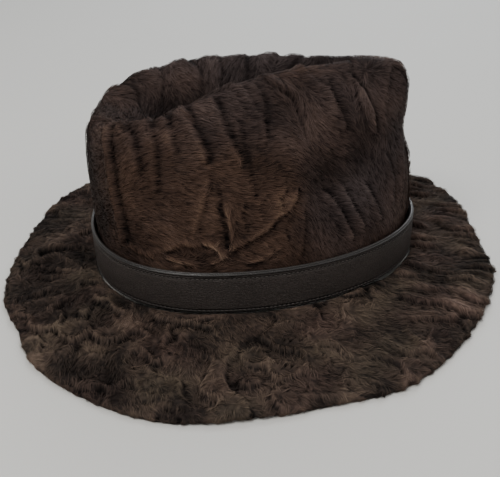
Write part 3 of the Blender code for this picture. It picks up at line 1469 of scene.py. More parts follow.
class CrownPelt(Pelt):
    """The crown's pelt: mostly smooth, with rolls that run up and down."""

    WAVE = Ripples(5, 0.026, 0.044, (1.0, 1.0, 0.30))
    BREAKS = Ripples(9, 0.035, 0.080)
    # The rolls' tone paints a highlight on crests, and their dark paints shade in grooves.
    ROLLS = Rolls(height=2.0, wide=0.55, steep=0.20, sunk=0.4, tone=0.08, dark=0.22)
    SHARPEST = 170.0
    RIB = 0.0205
    RIB_CREST = 0.50
    RIB_FLAT = 0.35
    RIB_ROUND = (-0.010, -0.020)
    RIB_RADIUS = 0.065
    RIB_WARP = Ripples(43, 0.030, 0.060)
    # Each curl's two tone numbers paint a highlight on its crest and shade in its groove.
    CURLS = (
        Curl(
            ((-79, -41, 103), (-78, -48, 91), (-77, -56, 75), (-74, -61, 61), (-72, -64, 47)),
            4.2, 2.4, 0.12, 0.30,
        ),
        Curl(((-70, -42, 106), (-64, -53, 102), (-61, -61, 88)), 3.6, 2.2, 0.12, 0.34),
        Curl(((-55, -46, 110), (-52, -57, 100), (-51, -67, 79)), 3.2, 2.2, 0.08, 0.32),
        Curl(((-45, -48, 111), (-43, -53, 107), (-40, -60, 98)), 2.8, 1.8, 0.14, 0.30),
        Curl(((-35, -47, 116), (-29, -56, 108), (-23, -63, 95)), 4.0, 2.8, 0.16, 0.36),
        Curl(((-18, -46, 120), (-13, -54, 108), (-4, -63, 92)), 3.6, 2.4, 0.12, 0.32),
        Curl(((-21, -68, 84), (-24, -73, 74), (-29, -77, 58)), 2.8, 1.1, 0.12, 0.20),
        Curl(((-17, -70, 80), (-15, -75, 66), (-12, -79, 46)), 1.8, 1.5, -0.06, 0.44),
        Curl(((-9, -78, 47), (-10, -76, 59), (-13, -73, 69)), 2.6, 2.0, 0.20, 0.42),
        Curl(((-5, -52, 110), (-1, -62, 93), (3, -69, 75)), 2.6, 1.2, 0.04, 0.26),
        Curl(((5, -37, 125), (9, -43, 119), (10, -56, 101)), 2.6, 1.8, 0.10, 0.20),
        Curl(
            (
                (28, -62, 72), (24, -68, 65), (17, -71, 62), (11, -74, 56),
                (4, -77, 52), (-5, -78, 48), (-11, -79, 45),
            ),
            2.0, 2.2, 0.24, 0.48, comb=-0.3,
        ),
        Curl(((16, -78, 43), (9, -80, 39), (0, -81, 37)), 1.8, 1.6, 0.36, 0.36, comb=-0.7),
        Curl(((12, -70, 75), (7, -73, 69), (8, -75, 62)), 1.9, 1.7, 0.26, 0.38),
        Curl(((22, -65, 76), (18, -68, 71), (19, -69, 66)), 1.7, 1.6, 0.26, 0.38),
        Curl(((24, -67, 61), (20, -70, 55), (22, -72, 48)), 1.9, 1.5, 0.20, 0.36),
        Curl(((-1, -73, 71), (-4, -75, 64), (-1, -77, 57)), 1.8, 1.4, 0.22, 0.36),
        Curl(((46, -23, 125), (49, -30, 117), (56, -37, 101)), 2.2, 2.2, 0.16, 0.34),
        Curl(((59, -20, 125), (67, -25, 117), (73, -29, 106), (74, -31, 96)), 2.4, 2.2, 0.12, 0.30),
        Curl(((32, -65, 61), (31, -68, 48), (30, -72, 37)), 2.0, 1.4, 0.08, 0.14),
        Curl(((45, -55, 67), (52, -53, 57), (61, -55, 39)), 3.0, 2.2, 0.24, 0.24),
        Curl(((54, -48, 69), (60, -48, 57), (68, -49, 43)), 3.0, 2.2, 0.22, 0.24),
        Curl(((70, -39, 64), (76, -39, 52), (80, -40, 43)), 2.8, 1.6, 0.10, 0.24),
        Curl(((84, -30, 77), (88, -29, 63), (88, -31, 49)), 2.8, 1.4, 0.06, 0.20),
        Curl(((-29, -79, 48), (-38, -78, 49), (-48, -76, 43)), 2.2, 2.0, 0.16, 0.10),
        Curl(((-46, -78, 41), (-35, -79, 44), (-26, -80, 42)), 2.4, 0.8, 0.0, 0.26),
        Curl(
            ((-15, -80, 41), (-17, -79, 45), (-20, -79, 48), (-24, -79, 49)),
            1.8, 1.6, 0.42, 0.40, comb=-0.2,
        ),
        Curl(((-8, -80, 45), (-12, -80, 42), (-20, -81, 38)), 1.6, 1.5, 0.36, 0.40, comb=-0.3),
        Curl(((-55, -75, 39), (-62, -71, 40), (-69, -67, 43)), 2.4, 1.4, 0.20, 0.12),
        Curl(((-33, -80, 37), (-39, -79, 38), (-46, -77, 40)), 1.8, 1.6, 0.38, 0.38, comb=-0.5),
    )
    PATCHES = (
        Patch((-38, -70, 72), (34, 30, 28), 0.07),
        Patch((-35, -76, 60), (9, 20, 9), 0.02),
        Patch((-44, -74, 56), (22, 20, 12), -0.06),
        Patch((-69, -62, 73), (5, 12, 10), 0.12),
        Patch((-27, -48, 116), (7, 14, 5), 0.16),
        Patch((14, -70, 64), (13, 24, 14), 0.10),
        Patch((20, -68, 69), (9, 12, 7), 0.16, -0.1),
        Patch((-20, -68, 68), (56, 26, 30), 0.0, -0.35),
        Patch((8, -80, 42), (20, 20, 9), 0.12),
        Patch((54, -44, 91), (9, 16, 6), 0.12),
        Patch((60, -34, 110), (26, 24, 16), 0.01),
        Patch((34, -61, 68), (8, 20, 22), -0.11, 0.3),
        # Painted shade on the crown's left, where the key light falls most.
        Patch((-88, -34, 50), (16, 34, 18), -0.08),
        Patch((58, -46, 60), (26, 30, 30), -0.09, 0.8),
        Patch((88, -24, 78), (24, 30, 26), -0.01, 0.5),
        Patch((88, -30, 48), (16, 30, 22), 0.10, 0.3),
        # Painted shade in the dent, darker and less red.
        Patch((-36, 0, 88), (62, 36, 16), -0.22, 0.4),
        Patch((-86, -8, 100), (16, 30, 13), 0.10, -0.35),
        # Painted shade in the dent between its near and far walls.
        Patch((16, 15, 115), (38, 10, 11), -0.13, 0.3),
        Patch((-75, -42, 105), (12, 12, 9), 0.16),
        # Painted shade at the dent's front end.
        Patch((42, 8, 125), (22, 8, 7), -0.16, 0.3),
        Patch((26, -22, 130), (30, 9, 6), 0.08, -0.2),
        Patch((85, 0, 127), (11, 14, 7), 0.08, -0.2),
        Patch((-70, -50, 46), (20, 30, 14), -0.08),
        Patch((20, 30, 118), (60, 30, 16), 0.06, 0.5),
        # Painted shade in the dent.
        Patch((-20, 0, 96), (60, 26, 14), -0.10, 0.4),
        Patch((-92, -14, 72), (12, 44, 40), -0.05, 0.3, 1.5),
        Patch((92, -20, 88), (14, 34, 13), 0.0, 0.2, -3.2),
        Patch((72, -16, 128), (13, 16, 12), 0.0, 0.1, 2.6),
    )
    TUFTS = (
        Tuft((-21.5, -80, 45.5), (-16.5, -79, 49.8), 3.2, 0.70),
        Tuft((-12, -79, 45.5), (-17, -80, 41.5), 3.4, 0.58),
        Tuft((-13.5, -80, 41.5), (-18.0, -80.5, 38), 3.6, 0.56),
        Tuft((-15, -80.5, 38.5), (-19.0, -81, 35.5), 3.4, 0.58),
        Tuft((-10.6, -79, 44.6), (-9.8, -78.5, 48.2), 2.0, 0.72, 8),
        Tuft((-31.5, -79, 45), (-28, -79, 42.3), 2.4, 0.56, 10),
        Tuft((-37.5, -80, 37), (-42.5, -78.8, 35.8), 2.6, 0.62),
        Tuft((-38.0, -80, 35.8), (-42.5, -79, 34.2), 2.6, 0.66),
        Tuft((-35.5, -80, 37), (-31, -81, 34.5), 3.0, 0.52),
        Tuft((10.5, -79.5, 37.3), (15.5, -78, 41.5), 2.0, 0.58, 10),
        Tuft((-9.2, -78.6, 52.5), (-8.4, -77.4, 56), 2.4, 0.60, 10),
        Tuft((2, -78.5, 50), (4.5, -76.6, 53.5), 2.2, 0.60, 10),
        Tuft((9, -76.8, 55), (12, -73.8, 59.5), 2.6, 0.56, 10),
        Tuft((22, -68, 67.5), (26, -64, 72), 4.4, 0.62, 16),
        Tuft((18, -69.5, 65), (21, -66.5, 70), 4.6, 0.58, 16),
        Tuft((12, -71, 65), (15, -69, 69.5), 4.4, 0.54, 14),
        Tuft((-11.5, -75.5, 65.5), (-10.5, -73, 70.5), 3.0, 0.58),
        Tuft((-23.5, -70.5, 77.5), (-20.5, -69, 81.5), 3.4, 0.56),
        Tuft((-34, -48, 115), (-29, -53, 112), 3.8, 0.54),
        Tuft((-26, -60, 100), (-22, -62, 97), 3.8, 0.56),
        Tuft((-6, -61, 95), (-4, -65, 90), 3.6, 0.54),
    )

    def __init__(self) -> None:
        """Measures the band first, because the hair stays clear of it."""
        self.band = Ring("band")
        self.band_top = float(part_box("band_welt")[1][2])
        super().__init__("crown", "crown_pelt")

    def mark_sides(self, mesh: bpy.types.Mesh) -> None:
        """Gives the inside and the lower edge material index 1.

        Args:
            mesh: The crown's mesh.
        """
        lowest = min(v.co.z for v in mesh.vertices)
        rim = {f.index for f in mesh.polygons if f.center.z < lowest + 0.4 * MM}
        by_edge: dict[tuple[int, int], list[int]] = {}
        for face in mesh.polygons:
            for key in face.edge_keys:
                by_edge.setdefault(key, []).append(face.index)
        start = max(mesh.polygons, key=lambda f: f.center.y if f.index not in rim else -1).index
        outer, todo = {start}, [start]
        while todo:
            face = mesh.polygons[todo.pop()]
            for key in face.edge_keys:
                for other in by_edge[key]:
                    if other not in outer and other not in rim:
                        outer.add(other)
                        todo.append(other)
        for face in mesh.polygons:
            face.material_index = 0 if face.index in outer else 1

    def is_fine(self, point: Vector) -> bool:
        """Says yes on the near side over the band, and round the top."""
        near = point.y < -0.008 and point.z > self.band_top - 3 * MM
        return near or (point.z > 0.092 and point.y < 0.050)

    def density(self, points: np.ndarray) -> np.ndarray:
        """Hair stands from just under the band's top upwards."""
        return smooth_step(points[:, 2], self.band_top - 4 * MM, self.band_top - 2 * MM)

    def pattern(self, points: np.ndarray) -> tuple[np.ndarray, np.ndarray, np.ndarray]:
        """Soft upright rolls, with ribs round the far rim of the dent.

        Args:
            points: (n, 3).

        Returns:
            The pattern's wave, its slope and its strength.
        """
        wave, slope = self.WAVE.value(points), self.WAVE.slope(points)
        wave = wave / np.maximum(np.linalg.norm(slope, axis=1) / self.SHARPEST, 1.0)
        strength = np.clip(0.65 + 0.5 * self.BREAKS.value(points), 0.05, 1.0)
        seen = smooth_step(-points[:, 1], 0.014, 0.034) * smooth_step(0.118 - points[:, 2], 0.0, 0.02)
        strength = np.minimum(strength + 0.3 * smooth_step(points[:, 2], 0.095, 0.115), 1.05)
        strength = strength * (1 - 0.8 * seen)
        from_middle = points[:, :2] - np.array(self.RIB_ROUND)
        turn = np.arctan2(from_middle[:, 1], from_middle[:, 0])
        along = turn * self.RIB_RADIUS + 0.0048 * self.RIB_WARP.value(points)
        ribs = 2.2 * (np.mod(along / self.RIB, 1.0) - self.RIB_CREST)
        ribs = np.sign(ribs) * np.maximum(np.abs(ribs) - self.RIB_FLAT, 0.0)
        around = np.stack([-np.sin(turn), np.cos(turn), np.zeros(len(turn))], 1)
        back = smooth_step(points[:, 1], -0.006, 0.012) * smooth_step(points[:, 2], 0.086, 0.100)
        ribbed = back > 0.5
        return (
            np.where(ribbed, ribs, wave),
            np.where(ribbed[:, None], around, slope),
            np.where(ribbed, back * np.clip(0.7 + 0.4 * self.BREAKS.value(points), 0.2, 1.0), strength),
        )

    def lie(self, points: np.ndarray) -> np.ndarray:
        """Hair lies level round the crown, and downwards at the front on the wearer's right.

        Args:
            points: (n, 3).

        Returns:
            The ways.
        """
        outward = unit(points * LEVEL + 1e-9)
        level = np.cross(np.array(UP), outward)
        drift = 0.3 * Ripples(23, 0.05, 0.12).value(points)
        down = 1.1 * smooth_step(points[:, 0], 0.005, 0.035) * smooth_step(-points[:, 1], 0.0, 0.03)
        return level * (1 - 0.5 * down)[:, None] + (drift - down)[:, None] * np.array(UP)

    def calm(self, points: np.ndarray) -> np.ndarray:
        """Hair lies flat behind the band and stands up over it."""
        return 0.12 + 0.88 * smooth_step(points[:, 2], self.band_top - 1 * MM, self.band_top + 6 * MM)

    def plain_tone(self, points: np.ndarray) -> np.ndarray:
        """The tone varies a little."""
        return 0.44 + 0.05 * Ripples(31, 0.02, 0.05).value(points)

    def plain_cool(self, points: np.ndarray, crest: np.ndarray) -> np.ndarray:
        """Warm at the foot and less red at the top."""
        high = smooth_step(points[:, 2], 0.085, 0.118)
        return 0.15 + 0.40 * high + 0.08 * Ripples(47, 0.02, 0.06).value(points)

    def kept_clear(self, points: np.ndarray) -> np.ndarray:
        """Draws low points in behind the band.

        Args:
            points: (n, 3).

        Returns:
            The moved points.
        """
        turn, radius = turn_and_radius(points)
        most = self.band.radius(turn, False) - 0.2 * MM
        low = points[:, 2] < self.band_top + 0.3 * MM
        share = np.where(low & (radius > most), most / radius, 1.0)
        return np.concatenate([points[:, :2] * share[:, None], points[:, 2:]], 1)


class BrimPelt(Pelt):
    """The brim's pelt: close, restless rolls, rope-like at the front, and a ragged edge."""

    WAVE = Ripples(12, 0.015, 0.027, (1.0, 1.0, 0.6))
    WARP = Ripples(17, 0.022, 0.055)
    BREAKS = Ripples(14, 0.025, 0.060)
    TEARS = Ripples(19, 0.014, 0.034)
    # The rolls' tone paints a highlight on crests, and their dark paints shade in grooves.
    ROLLS = Rolls(height=3.0, wide=0.75, steep=0.30, sunk=0.45, tone=0.16, dark=0.36)
    ROPE = 0.0125
    ROPE_SLANT = 0.28
    ROPE_CREST = 0.22
    CURLS = (
        Curl(((-114, -38, 6), (-131, -34, 6), (-148, -29, 5)), 2.4, 1.6, 0.16, 0.14, UP),
        Curl(((-75, -83, 6), (-82, -78, 6), (-93, -68, 6)), 3.0, 1.8, 0.24, 0.20, UP),
        Curl(((-25, -99, 7), (-39, -94, 7), (-52, -91, 7)), 3.0, 2.4, 0.16, 0.36, UP),
    )
    PATCHES = (
        Patch((-90, -114, 4), (16, 16, 20), 0.12),
        Patch((-53, -131, 4), (14, 16, 20), 0.12),
        Patch((-28, -128, 5), (18, 16, 20), 0.12),
        Patch((-73, -89, 6), (10, 10, 20), 0.14),
        Patch((-110, -20, 6), (40, 60, 20), -0.06),
        Patch((-38, -106, 7), (12, 7, 20), -0.03),
        Patch((-60, -116, 5), (18, 22, 20), -0.09),
        Patch((-80, -92, 5), (20, 16, 20), -0.07),
        Patch((-108, -100, 4), (14, 14, 20), 0.06),
        Patch((8, -120, 6), (26, 18, 20), 0.09),
        Patch((28, -118, 6), (12, 14, 20), -0.15),
        Patch((0, -128, 6), (10, 10, 20), 0.10),
        Patch((80, -129, 4), (22, 14, 20), -0.17),
        Patch((-97, -112, 4), (20, 12, 20), 0.07),
        # Painted shade on the brim's left, where the key light falls most.
        Patch((-92, -58, 6), (16, 26, 20), -0.07),
        Patch((112, -10, 8), (30, 50, 20), 0.09, -0.1),
        Patch((118, 40, 8), (30, 40, 20), 0.08, -0.1),
        Patch((42, -133, 4), (13, 12, 20), 0.14),
        Patch((65, -117, 4), (13, 12, 20), 0.13),
        Patch((-54, -138, 4), (18, 18, 20), -0.11),
        Patch((23, -141, 4), (14, 14, 20), -0.11),
        Patch((128, -84, 4), (14, 20, 20), 0.11),
        Patch((111, 7, 7), (12, 22, 20), 0.08),
    )

    KEEPS_SKIN = True
    SMOOTH = Patch((76, -102, 5), (34, 24, 30))
    FLAT = Patch((-39, 111, 6), (13, 13, 20))

    def __init__(self) -> None:
        """Measures the band and the brim's edge first."""
        self.band = Ring("band")
        self.edge = Ring("brim")
        super().__init__("brim", "brim_pelt")

    def mark_sides(self, mesh: bpy.types.Mesh) -> None:
        """Gives the underside and what the band hides material index 1.

        Args:
            mesh: The brim's mesh.
        """
        for face in mesh.polygons:
            centre = np.array(face.center)
            inside = np.hypot(*centre[:2]) < self.band.radius(np.arctan2(centre[1], centre[0]), False)
            face.material_index = 1 if face.normal.z < -0.85 or inside else 0

    def density(self, points: np.ndarray) -> np.ndarray:
        """Hair stands outside the band only."""
        return (self._out(points) > 1.0 * MM).astype(float)

    def _out(self, points: np.ndarray) -> np.ndarray:
        """How far a point lies outside the band."""
        turn, radius = turn_and_radius(points)
        return radius - self.band.radius(turn, True)

    def pattern(self, points: np.ndarray) -> tuple[np.ndarray, np.ndarray, np.ndarray]:
        """Restless rolls, with rope-like ones at the front.

        Args:
            points: (n, 3).

        Returns:
            The pattern's wave, its slope and its strength.
        """
        front = smooth_step(points[:, 0], 0.055, 0.090) * smooth_step(points[:, 1], -0.105, -0.070)
        across = points[:, 1] + self.ROPE_SLANT * points[:, 0] + 0.0034 * self.WARP.value(points)
        rope = 2.2 * (np.mod(across / self.ROPE, 1.0) - self.ROPE_CREST)
        wave = np.where(front > 0.5, rope, self.WAVE.value(points))
        slope = unit(self.WAVE.slope(points)) * (1 - front)[:, None]
        slope = slope + front[:, None] * np.array((0.0, 1.0, 0.0))
        strength = np.clip(0.85 + 0.3 * self.BREAKS.value(points), 0.2, 1.2)
        torn = np.clip(0.72 + 0.42 * self.TEARS.value(points), 0.12, 1.1)
        strength = np.where(front > 0.5, torn, strength) * (1 - 0.55 * self.SMOOTH.share(points))
        strength = strength * (1 - 0.85 * self.FLAT.share(points))
        return wave, slope, strength

    def lie(self, points: np.ndarray) -> np.ndarray:
        """Hair lies outwards and a little round the hat.

        Args:
            points: (n, 3).

        Returns:
            The ways.
        """
        outward = unit(points * LEVEL)
        around = np.stack([-outward[:, 1], outward[:, 0], np.zeros(len(points))], 1)
        return 0.55 * outward + 0.35 * around

    def calm(self, points: np.ndarray) -> np.ndarray:
        """Hair lies flatter beside the band, at the edge and near the floor.

        Args:
            points: (n, 3).

        Returns:
            From 0, flat, to 1.
        """
        lifted = smooth_step(points[:, 2], 0.4 * MM, 3 * MM)
        turn, radius = turn_and_radius(points)
        inward = self.edge.radius(turn, True) - radius
        edge = np.where(points[:, 0] > 0.06, 0.8, 0.45)
        edge = edge + (1 - edge) * smooth_step(inward, 1 * MM, 9 * MM)
        by_band = 0.15 + 0.85 * smooth_step(self._out(points), 0.5 * MM, 5 * MM)
        return by_band * (0.3 + 0.7 * lifted) * edge

    def plain_tone(self, points: np.ndarray) -> np.ndarray:
        """A little lighter towards the near side."""
        near = smooth_step(-points[:, 1], 0.04, 0.13)
        return 0.41 + 0.08 * Ripples(37, 0.02, 0.05).value(points) + 0.05 * near

    def plain_cool(self, points: np.ndarray, crest: np.ndarray) -> np.ndarray:
        """Patchy, and warmer on the front's crests.

        Args:
            points: (n, 3).
            crest: How near each is to a crest.

        Returns:
            How far from red the hair is.
        """
        front = smooth_step(points[:, 0], 0.04, 0.09)
        patchy = 0.22 * Ripples(53, 0.022, 0.060).value(points)
        return 0.5 + patchy - 0.35 * front * (crest - 0.4)

    def kept_clear(self, points: np.ndarray) -> np.ndarray:
        """Keeps points outside the band and over the floor.

        Args:
            points: (n, 3).

        Returns:
            The moved points.
        """
        turn, radius = turn_and_radius(points)
        least = self.band.radius(turn, True) + 0.4 * MM
        share = np.where(radius < least, least / radius, 1.0)
        moved = np.concatenate([points[:, :2] * share[:, None], points[:, 2:]], 1)
        moved[:, 2] = np.maximum(moved[:, 2], 0.3 * MM)
        return moved


# The band


@dataclass(frozen=True)
class StitchStyle:
    """Stitches along the band, in mm."""

    pitch: float = 2.6
    length: float = 1.8
    thick: float = 0.42
    from_bottom: float = 2.0
    from_top: float = 1.2
    proud: float = 0.08
    sides: int = 8
    rings: int = 5


@dataclass(frozen=True)
class BandStyle:
    """How the strap and the welt are shaped, in mm.

    Attributes:
        full: How much fuller the strap is in its middle.
        uneven: How uneven it is.
        waves: Where it is uneven.
        facing: How squarely a face looks outwards to be shaped at all, from 0 to 1.
        drawn: How far the stitches draw it in.
        drawn_half: Half width of that.
        fuller: How much fuller the welt is.
        fold: How deep the line between its two folds is.
        fold_tilt: Where that line lies, as the rise of the normal there.
        fold_wide: Its half width, in the same.
    """

    full: float = 0.35
    uneven: float = 0.12
    waves: Ripples = Ripples(3, 0.02, 0.07)
    facing: float = 0.3
    drawn: float = 0.10
    drawn_half: float = 0.8
    fuller: float = 0.30
    fold: float = 0.6
    fold_tilt: float = 0.5
    fold_wide: float = 0.2


@dataclass
class LeatherBand:
    """The leather strap with its welt and two rows of stitches.

    Attributes:
        stitch: Its stitches.
        style: How the strap and the welt are shaped.
    """

    stitch: StitchStyle = StitchStyle()
    style: BandStyle = BandStyle()

    SEAM_STEP = 1.0
    FAR = 0.3

    def __post_init__(self) -> None:
        """Reads the band's heights and makes its materials."""
        strap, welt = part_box("band"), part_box("band_welt")
        self.bottom, self.top = float(strap[0][2]), float(strap[1][2])
        middle, half = float(welt[0][2] + welt[1][2]) / 2, float(welt[1][2] - welt[0][2]) / 2
        fold = middle + self.style.fold_tilt * half
        self.lines = (
            self.bottom + self.stitch.from_bottom * MM,
            self.top - self.stitch.from_top * MM,
        )
        leather = LeatherFinish(
            name="band_leather",
            dark=(0.0150, 0.0120, 0.0108),
            light=(0.0560, 0.0450, 0.0400),
            grain=0.0013,
            relief=0.00046,
            roughness=0.44,
            grooves=self.lines,
            groove_half=0.0005,
            specular=0.17,
        )
        self.leather = leather_material(leather)
        plain = LeatherFinish(
            name="welt_leather",
            dark=(0.017, 0.0145, 0.0135),
            light=(0.039, 0.034, 0.031),
            grain=0.0012,
            relief=0.00010,
            roughness=0.31,
            grooves=(fold,),
            groove_half=0.00028,
            specular=0.55,
        )
        self.welt_leather = leather_material(plain)
        thread = SkinFinish("thread", (0.065, 0.056, 0.051), (0.105, 0.091, 0.083), 0.001, 0.00003, 0.6)
        self.thread = skin_material(thread)

    def _seam(self, strap: bpy.types.Object, height: float) -> np.ndarray:
        """Finds a line on the strap's outer face.

        Args:
            strap: The strap.
            height: The line's height.

        Returns:
            Its points, in order round the hat.
        """
        mesh = strap.data
        faces = [tuple(face.vertices) for face in mesh.polygons]
        tree = BVHTree.FromPolygons([v.co.copy() for v in mesh.vertices], faces)
        found = []
        for turn in np.radians(np.arange(0.0, 360.0, self.SEAM_STEP)):
            way = Vector((math.cos(turn), math.sin(turn), 0.0))
            found.append(tree.ray_cast(way * self.FAR + Vector((0.0, 0.0, height)), -way)[0])
        return np.array(found)

    def _stitches(self, strap: bpy.types.Object) -> bpy.types.Object:
        """Makes all the stitches as one mesh.

        Args:
            strap: The strap that they lie on.

        Returns:
            The piece.
        """
        bpy.ops.mesh.primitive_uv_sphere_add(
            segments=self.stitch.sides, ring_count=self.stitch.rings, radius=1.0
        )
        bead = bpy.context.object
        shape = vertices_of(bead.data)
        polygons = [tuple(face.vertices) for face in bead.data.polygons]
        bpy.data.objects.remove(bead, do_unlink=True)
        sizes = np.array((self.stitch.thick, self.stitch.thick, self.stitch.length)) * MM / 2
        local = shape * sizes
        corners: list[np.ndarray] = []
        faces: list[tuple[int, ...]] = []
        for height in self.lines:
            seam = self._seam(strap, height)
            closed = np.vstack([seam, seam[:1]])
            travelled = np.concatenate([[0], np.cumsum(np.linalg.norm(np.diff(closed, axis=0), axis=1))])
            count = int(travelled[-1] / (self.stitch.pitch * MM))
            middles = (np.arange(count) + 0.5) * travelled[-1] / count
            for middle in middles:
                ends = [
                    np.array([np.interp(place % travelled[-1], travelled, closed[:, k]) for k in range(3)])
                    for place in (middle - self.stitch.length * MM / 2, middle + self.stitch.length * MM / 2)
                ]
                way = unit(ends[1] - ends[0])
                out = unit(np.cross(way, np.array(UP)))
                rise = np.cross(out, way)
                centre = (ends[0] + ends[1]) / 2 + out * self.stitch.proud * MM
                base = len(corners) * len(shape)
                corners.append(centre + local[:, :1] * out + local[:, 1:2] * rise + local[:, 2:] * way)
                faces.extend(tuple(base + k for k in face) for face in polygons)
        mesh = bpy.data.meshes.new("band_stitches")
        mesh.from_pydata(np.concatenate(corners).tolist(), [], faces)
        mesh.materials.append(self.thread)
        mesh.shade_smooth()
        return placed("band_stitches", mesh)

    def _soften(self, obj: bpy.types.Object) -> None:
        """Makes the strap a little uneven, full in its middle and drawn in at the stitches.

        Args:
            obj: The strap.
        """
        mesh, style = obj.data, self.style
        points, normals = vertices_of(mesh), normals_of(mesh)
        level = normals * LEVEL
        share = (points[:, 2] - self.bottom) / (self.top - self.bottom)
        full = style.full * np.sin(np.clip(share, 0, 1) * math.pi)
        uneven = style.uneven * style.waves.value(points)
        outward = (level * unit(points * LEVEL)).sum(1) > style.facing
        drawn = sum(bell((points[:, 2] - line) / (style.drawn_half * MM)) for line in self.lines)
        proud = np.where(outward, full + uneven - style.drawn * drawn, 0.0)
        move_vertices(mesh, points + level * proud[:, None] * MM)

    def _double(self, welt: bpy.types.Object) -> None:
        """Fills the welt out and presses a line along its outer side, so that it reads as two folds.

        Args:
            welt: The welt.
        """
        mesh, style = welt.data, self.style
        points, normals = vertices_of(mesh), normals_of(mesh)
        outward = (normals * unit(points * LEVEL)).sum(1)
        facing = smooth_step(outward, 0.1, 0.5) * bell((normals[:, 2] - style.fold_tilt) / style.fold_wide)
        move_vertices(mesh, points + normals * (style.fuller - style.fold * facing)[:, None] * MM)

    def build(self) -> None:
        """Makes the strap, the welt and the stitches."""
        strap = copy_of_node("band", "band_strap")
        crease(strap, 0.75)
        subdivide(strap, 1)
        subdivide(strap, 2, simple=True)
        self._soften(strap)
        welt = copy_of_node("band_welt", "band_rolled_welt")
        subdivide(welt, 2)
        self._double(welt)
        for obj, node, finish in ((strap, "band", self.leather), (welt, "band_welt", self.welt_leather)):
            obj.data.materials.append(finish)
            obj.data.shade_smooth()
            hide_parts(node)
            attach(obj, BODY)
        stitches = self._stitches(strap)
        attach(stitches, BODY)


# Studio


@dataclass(frozen=True)
class Softbox:
    """An area light: where it hangs, its side in metres, its power and its colour."""

    name: str
    at: Point
    side: float
    watts: float
    colour: Colour = (1.0, 1.0, 1.0)


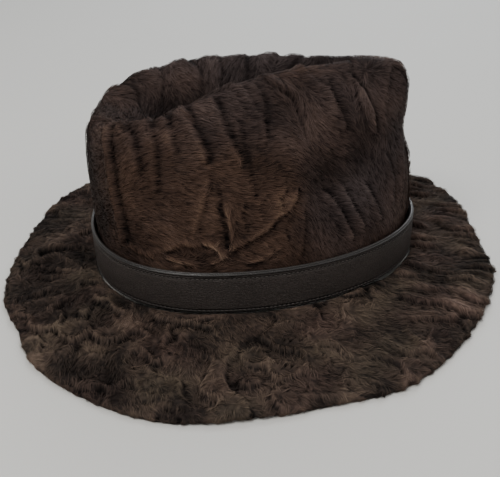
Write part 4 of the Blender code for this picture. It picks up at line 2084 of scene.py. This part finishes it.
@dataclass(frozen=True)
class Studio:
    """The floor, lights and camera."""

    camera_at: Point = (0.0057, -0.4094, 0.2466)
    look: Point = (-0.012, 0.862, -0.506)
    roll: float = -1.3
    focal_pixels: float = 690.0
    image_width: float = 500.0
    sensor: float = 36.0
    floor_side: float = 12.0
    target: Point = (0.0, 0.0, 0.05)
    lights: tuple[Softbox, ...] = (
        Softbox("key", (-0.52, -0.70, 1.32), 0.6, 16.5, (1.0, 0.985, 0.96)),
        Softbox("window", (0.40, 1.60, 1.40), 1.6, 28.0, (0.90, 0.95, 1.0)),
        Softbox("fill", (1.2, -0.8, 0.9), 1.2, 6.0),
    )
    ambient: float = 0.42
    drop: float = 0.00005
    clip: tuple[float, float] = (0.01, 50.0)

    def build(self) -> None:
        """Makes the studio."""
        self._floor()
        for light in self.lights:
            self._light(light)
        self._world()
        self._camera()

    def _floor(self) -> None:
        """Lays the pale floor."""
        bpy.ops.mesh.primitive_plane_add(size=self.floor_side, location=(0, 0, -self.drop))
        floor = bpy.context.object
        floor.name = "floor"
        graph = Graph("pale_floor")
        cloud = graph.noise(graph.place(), 0.5, 2.0)
        colour = graph.mix(cloud, (0.60, 0.59, 0.56), (0.64, 0.63, 0.60))
        floor.data.materials.append(graph.finish({"Base Color": colour, "Roughness": 0.7}))

    def _light(self, box: Softbox) -> None:
        """Hangs a light.

        Args:
            box: The light.
        """
        data = bpy.data.lights.new(box.name, "AREA")
        data.size = box.side
        data.energy = box.watts
        data.color = box.colour
        lamp = placed(box.name, data)
        lamp.location = box.at
        lamp.rotation_euler = (Vector(self.target) - Vector(box.at)).to_track_quat("-Z", "Y").to_euler()

    def _world(self) -> None:
        """Gives the scene its soft white surroundings."""
        world = bpy.data.worlds.new("studio")
        world.use_nodes = True
        world.node_tree.nodes["Background"].inputs["Color"].default_value = (1.0, 1.0, 1.0, 1.0)
        world.node_tree.nodes["Background"].inputs["Strength"].default_value = self.ambient
        bpy.context.scene.world = world

    def _camera(self) -> None:
        """Sets the camera where the photograph was taken from."""
        data = bpy.data.cameras.new("camera")
        data.sensor_width = self.sensor
        data.lens = self.focal_pixels / self.image_width * self.sensor
        data.clip_start, data.clip_end = self.clip
        look = Vector(self.look).normalized()
        level = look.cross(Vector((0, 0, 1))).normalized()
        up = level.cross(look)
        roll = math.radians(self.roll)
        right = level * math.cos(roll) + up * math.sin(roll)
        top = up * math.cos(roll) - level * math.sin(roll)
        turn = Matrix((right, top, -look)).transposed()
        camera = placed("camera", data)
        camera.matrix_world = Matrix.Translation(Vector(self.camera_at)) @ turn.to_4x4()
        bpy.context.scene.camera = camera


# The hat


CROWN_LOCKS = LockStyle(
    locks=19000, strands=6, length=(3.2, 5.4), width=2.6, hair=0.24,
    lifts=(-0.1, 0.22, 0.12), curl=16.0, gather=0.2, tousle=0.12, lock_tone=0.03, hair_tone=0.045,
)
BRIM_LOCKS = LockStyle(
    locks=10500, strands=5, length=(3.4, 5.8), width=2.6, hair=0.25,
    lifts=(-0.15, 0.30, 0.38, 0.15), curl=45.0, gather=0.2, tousle=0.14, lock_tone=0.03, hair_tone=0.05,
)


class Hat:
    """The whole hat."""

    def build(self) -> None:
        """Makes the pelts, their hair and the band."""
        suede = skin_material(SUEDE)
        level = underfur_material(HAIR, (1.0, 1.0, 7.0))
        spread = underfur_material(BRIM_HAIR, (1.0, 1.0, 1.0))
        for pelt, style, look, name, seed, outside, inside in (
            (CrownPelt(), CROWN_LOCKS, HAIR, "crown_hair", 101, level, suede),
            (BrimPelt(), BRIM_LOCKS, BRIM_HAIR, "brim_hair", 202, spread, spread),
        ):
            pelt.dress(outside, inside, 0.5 * MM)
            coat = Coat(pelt, style, hair_material(look), seed)
            pieces = coat.grow(name)
            if pelt.TUFTS:
                pieces.append(coat.lay(f"{pelt.node}_tufts", pelt.TUFTS))
            for piece in pieces:
                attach(piece, BODY)
            log.info("%s done", name)
        LeatherBand().build()


def plain(box: Iterable[Iterable[float]]) -> list[list[float]]:
    """A box as lists of numbers."""
    return [[float(value) for value in corner] for corner in box]


def main() -> None:
    """Builds the scene."""
    logging.basicConfig(level=logging.INFO)
    bpy.context.view_layer.update()
    Hat().build()
    Studio().build()
    bpy.context.view_layer.update()
    for obj in bpy.context.scene.objects:
        if obj.type == "MESH":
            triangles = len(obj.data.loops) - 2 * len(obj.data.polygons)
            log.info("%s: %d triangles", obj.name, triangles)


if __name__ == "__main__":
    main()
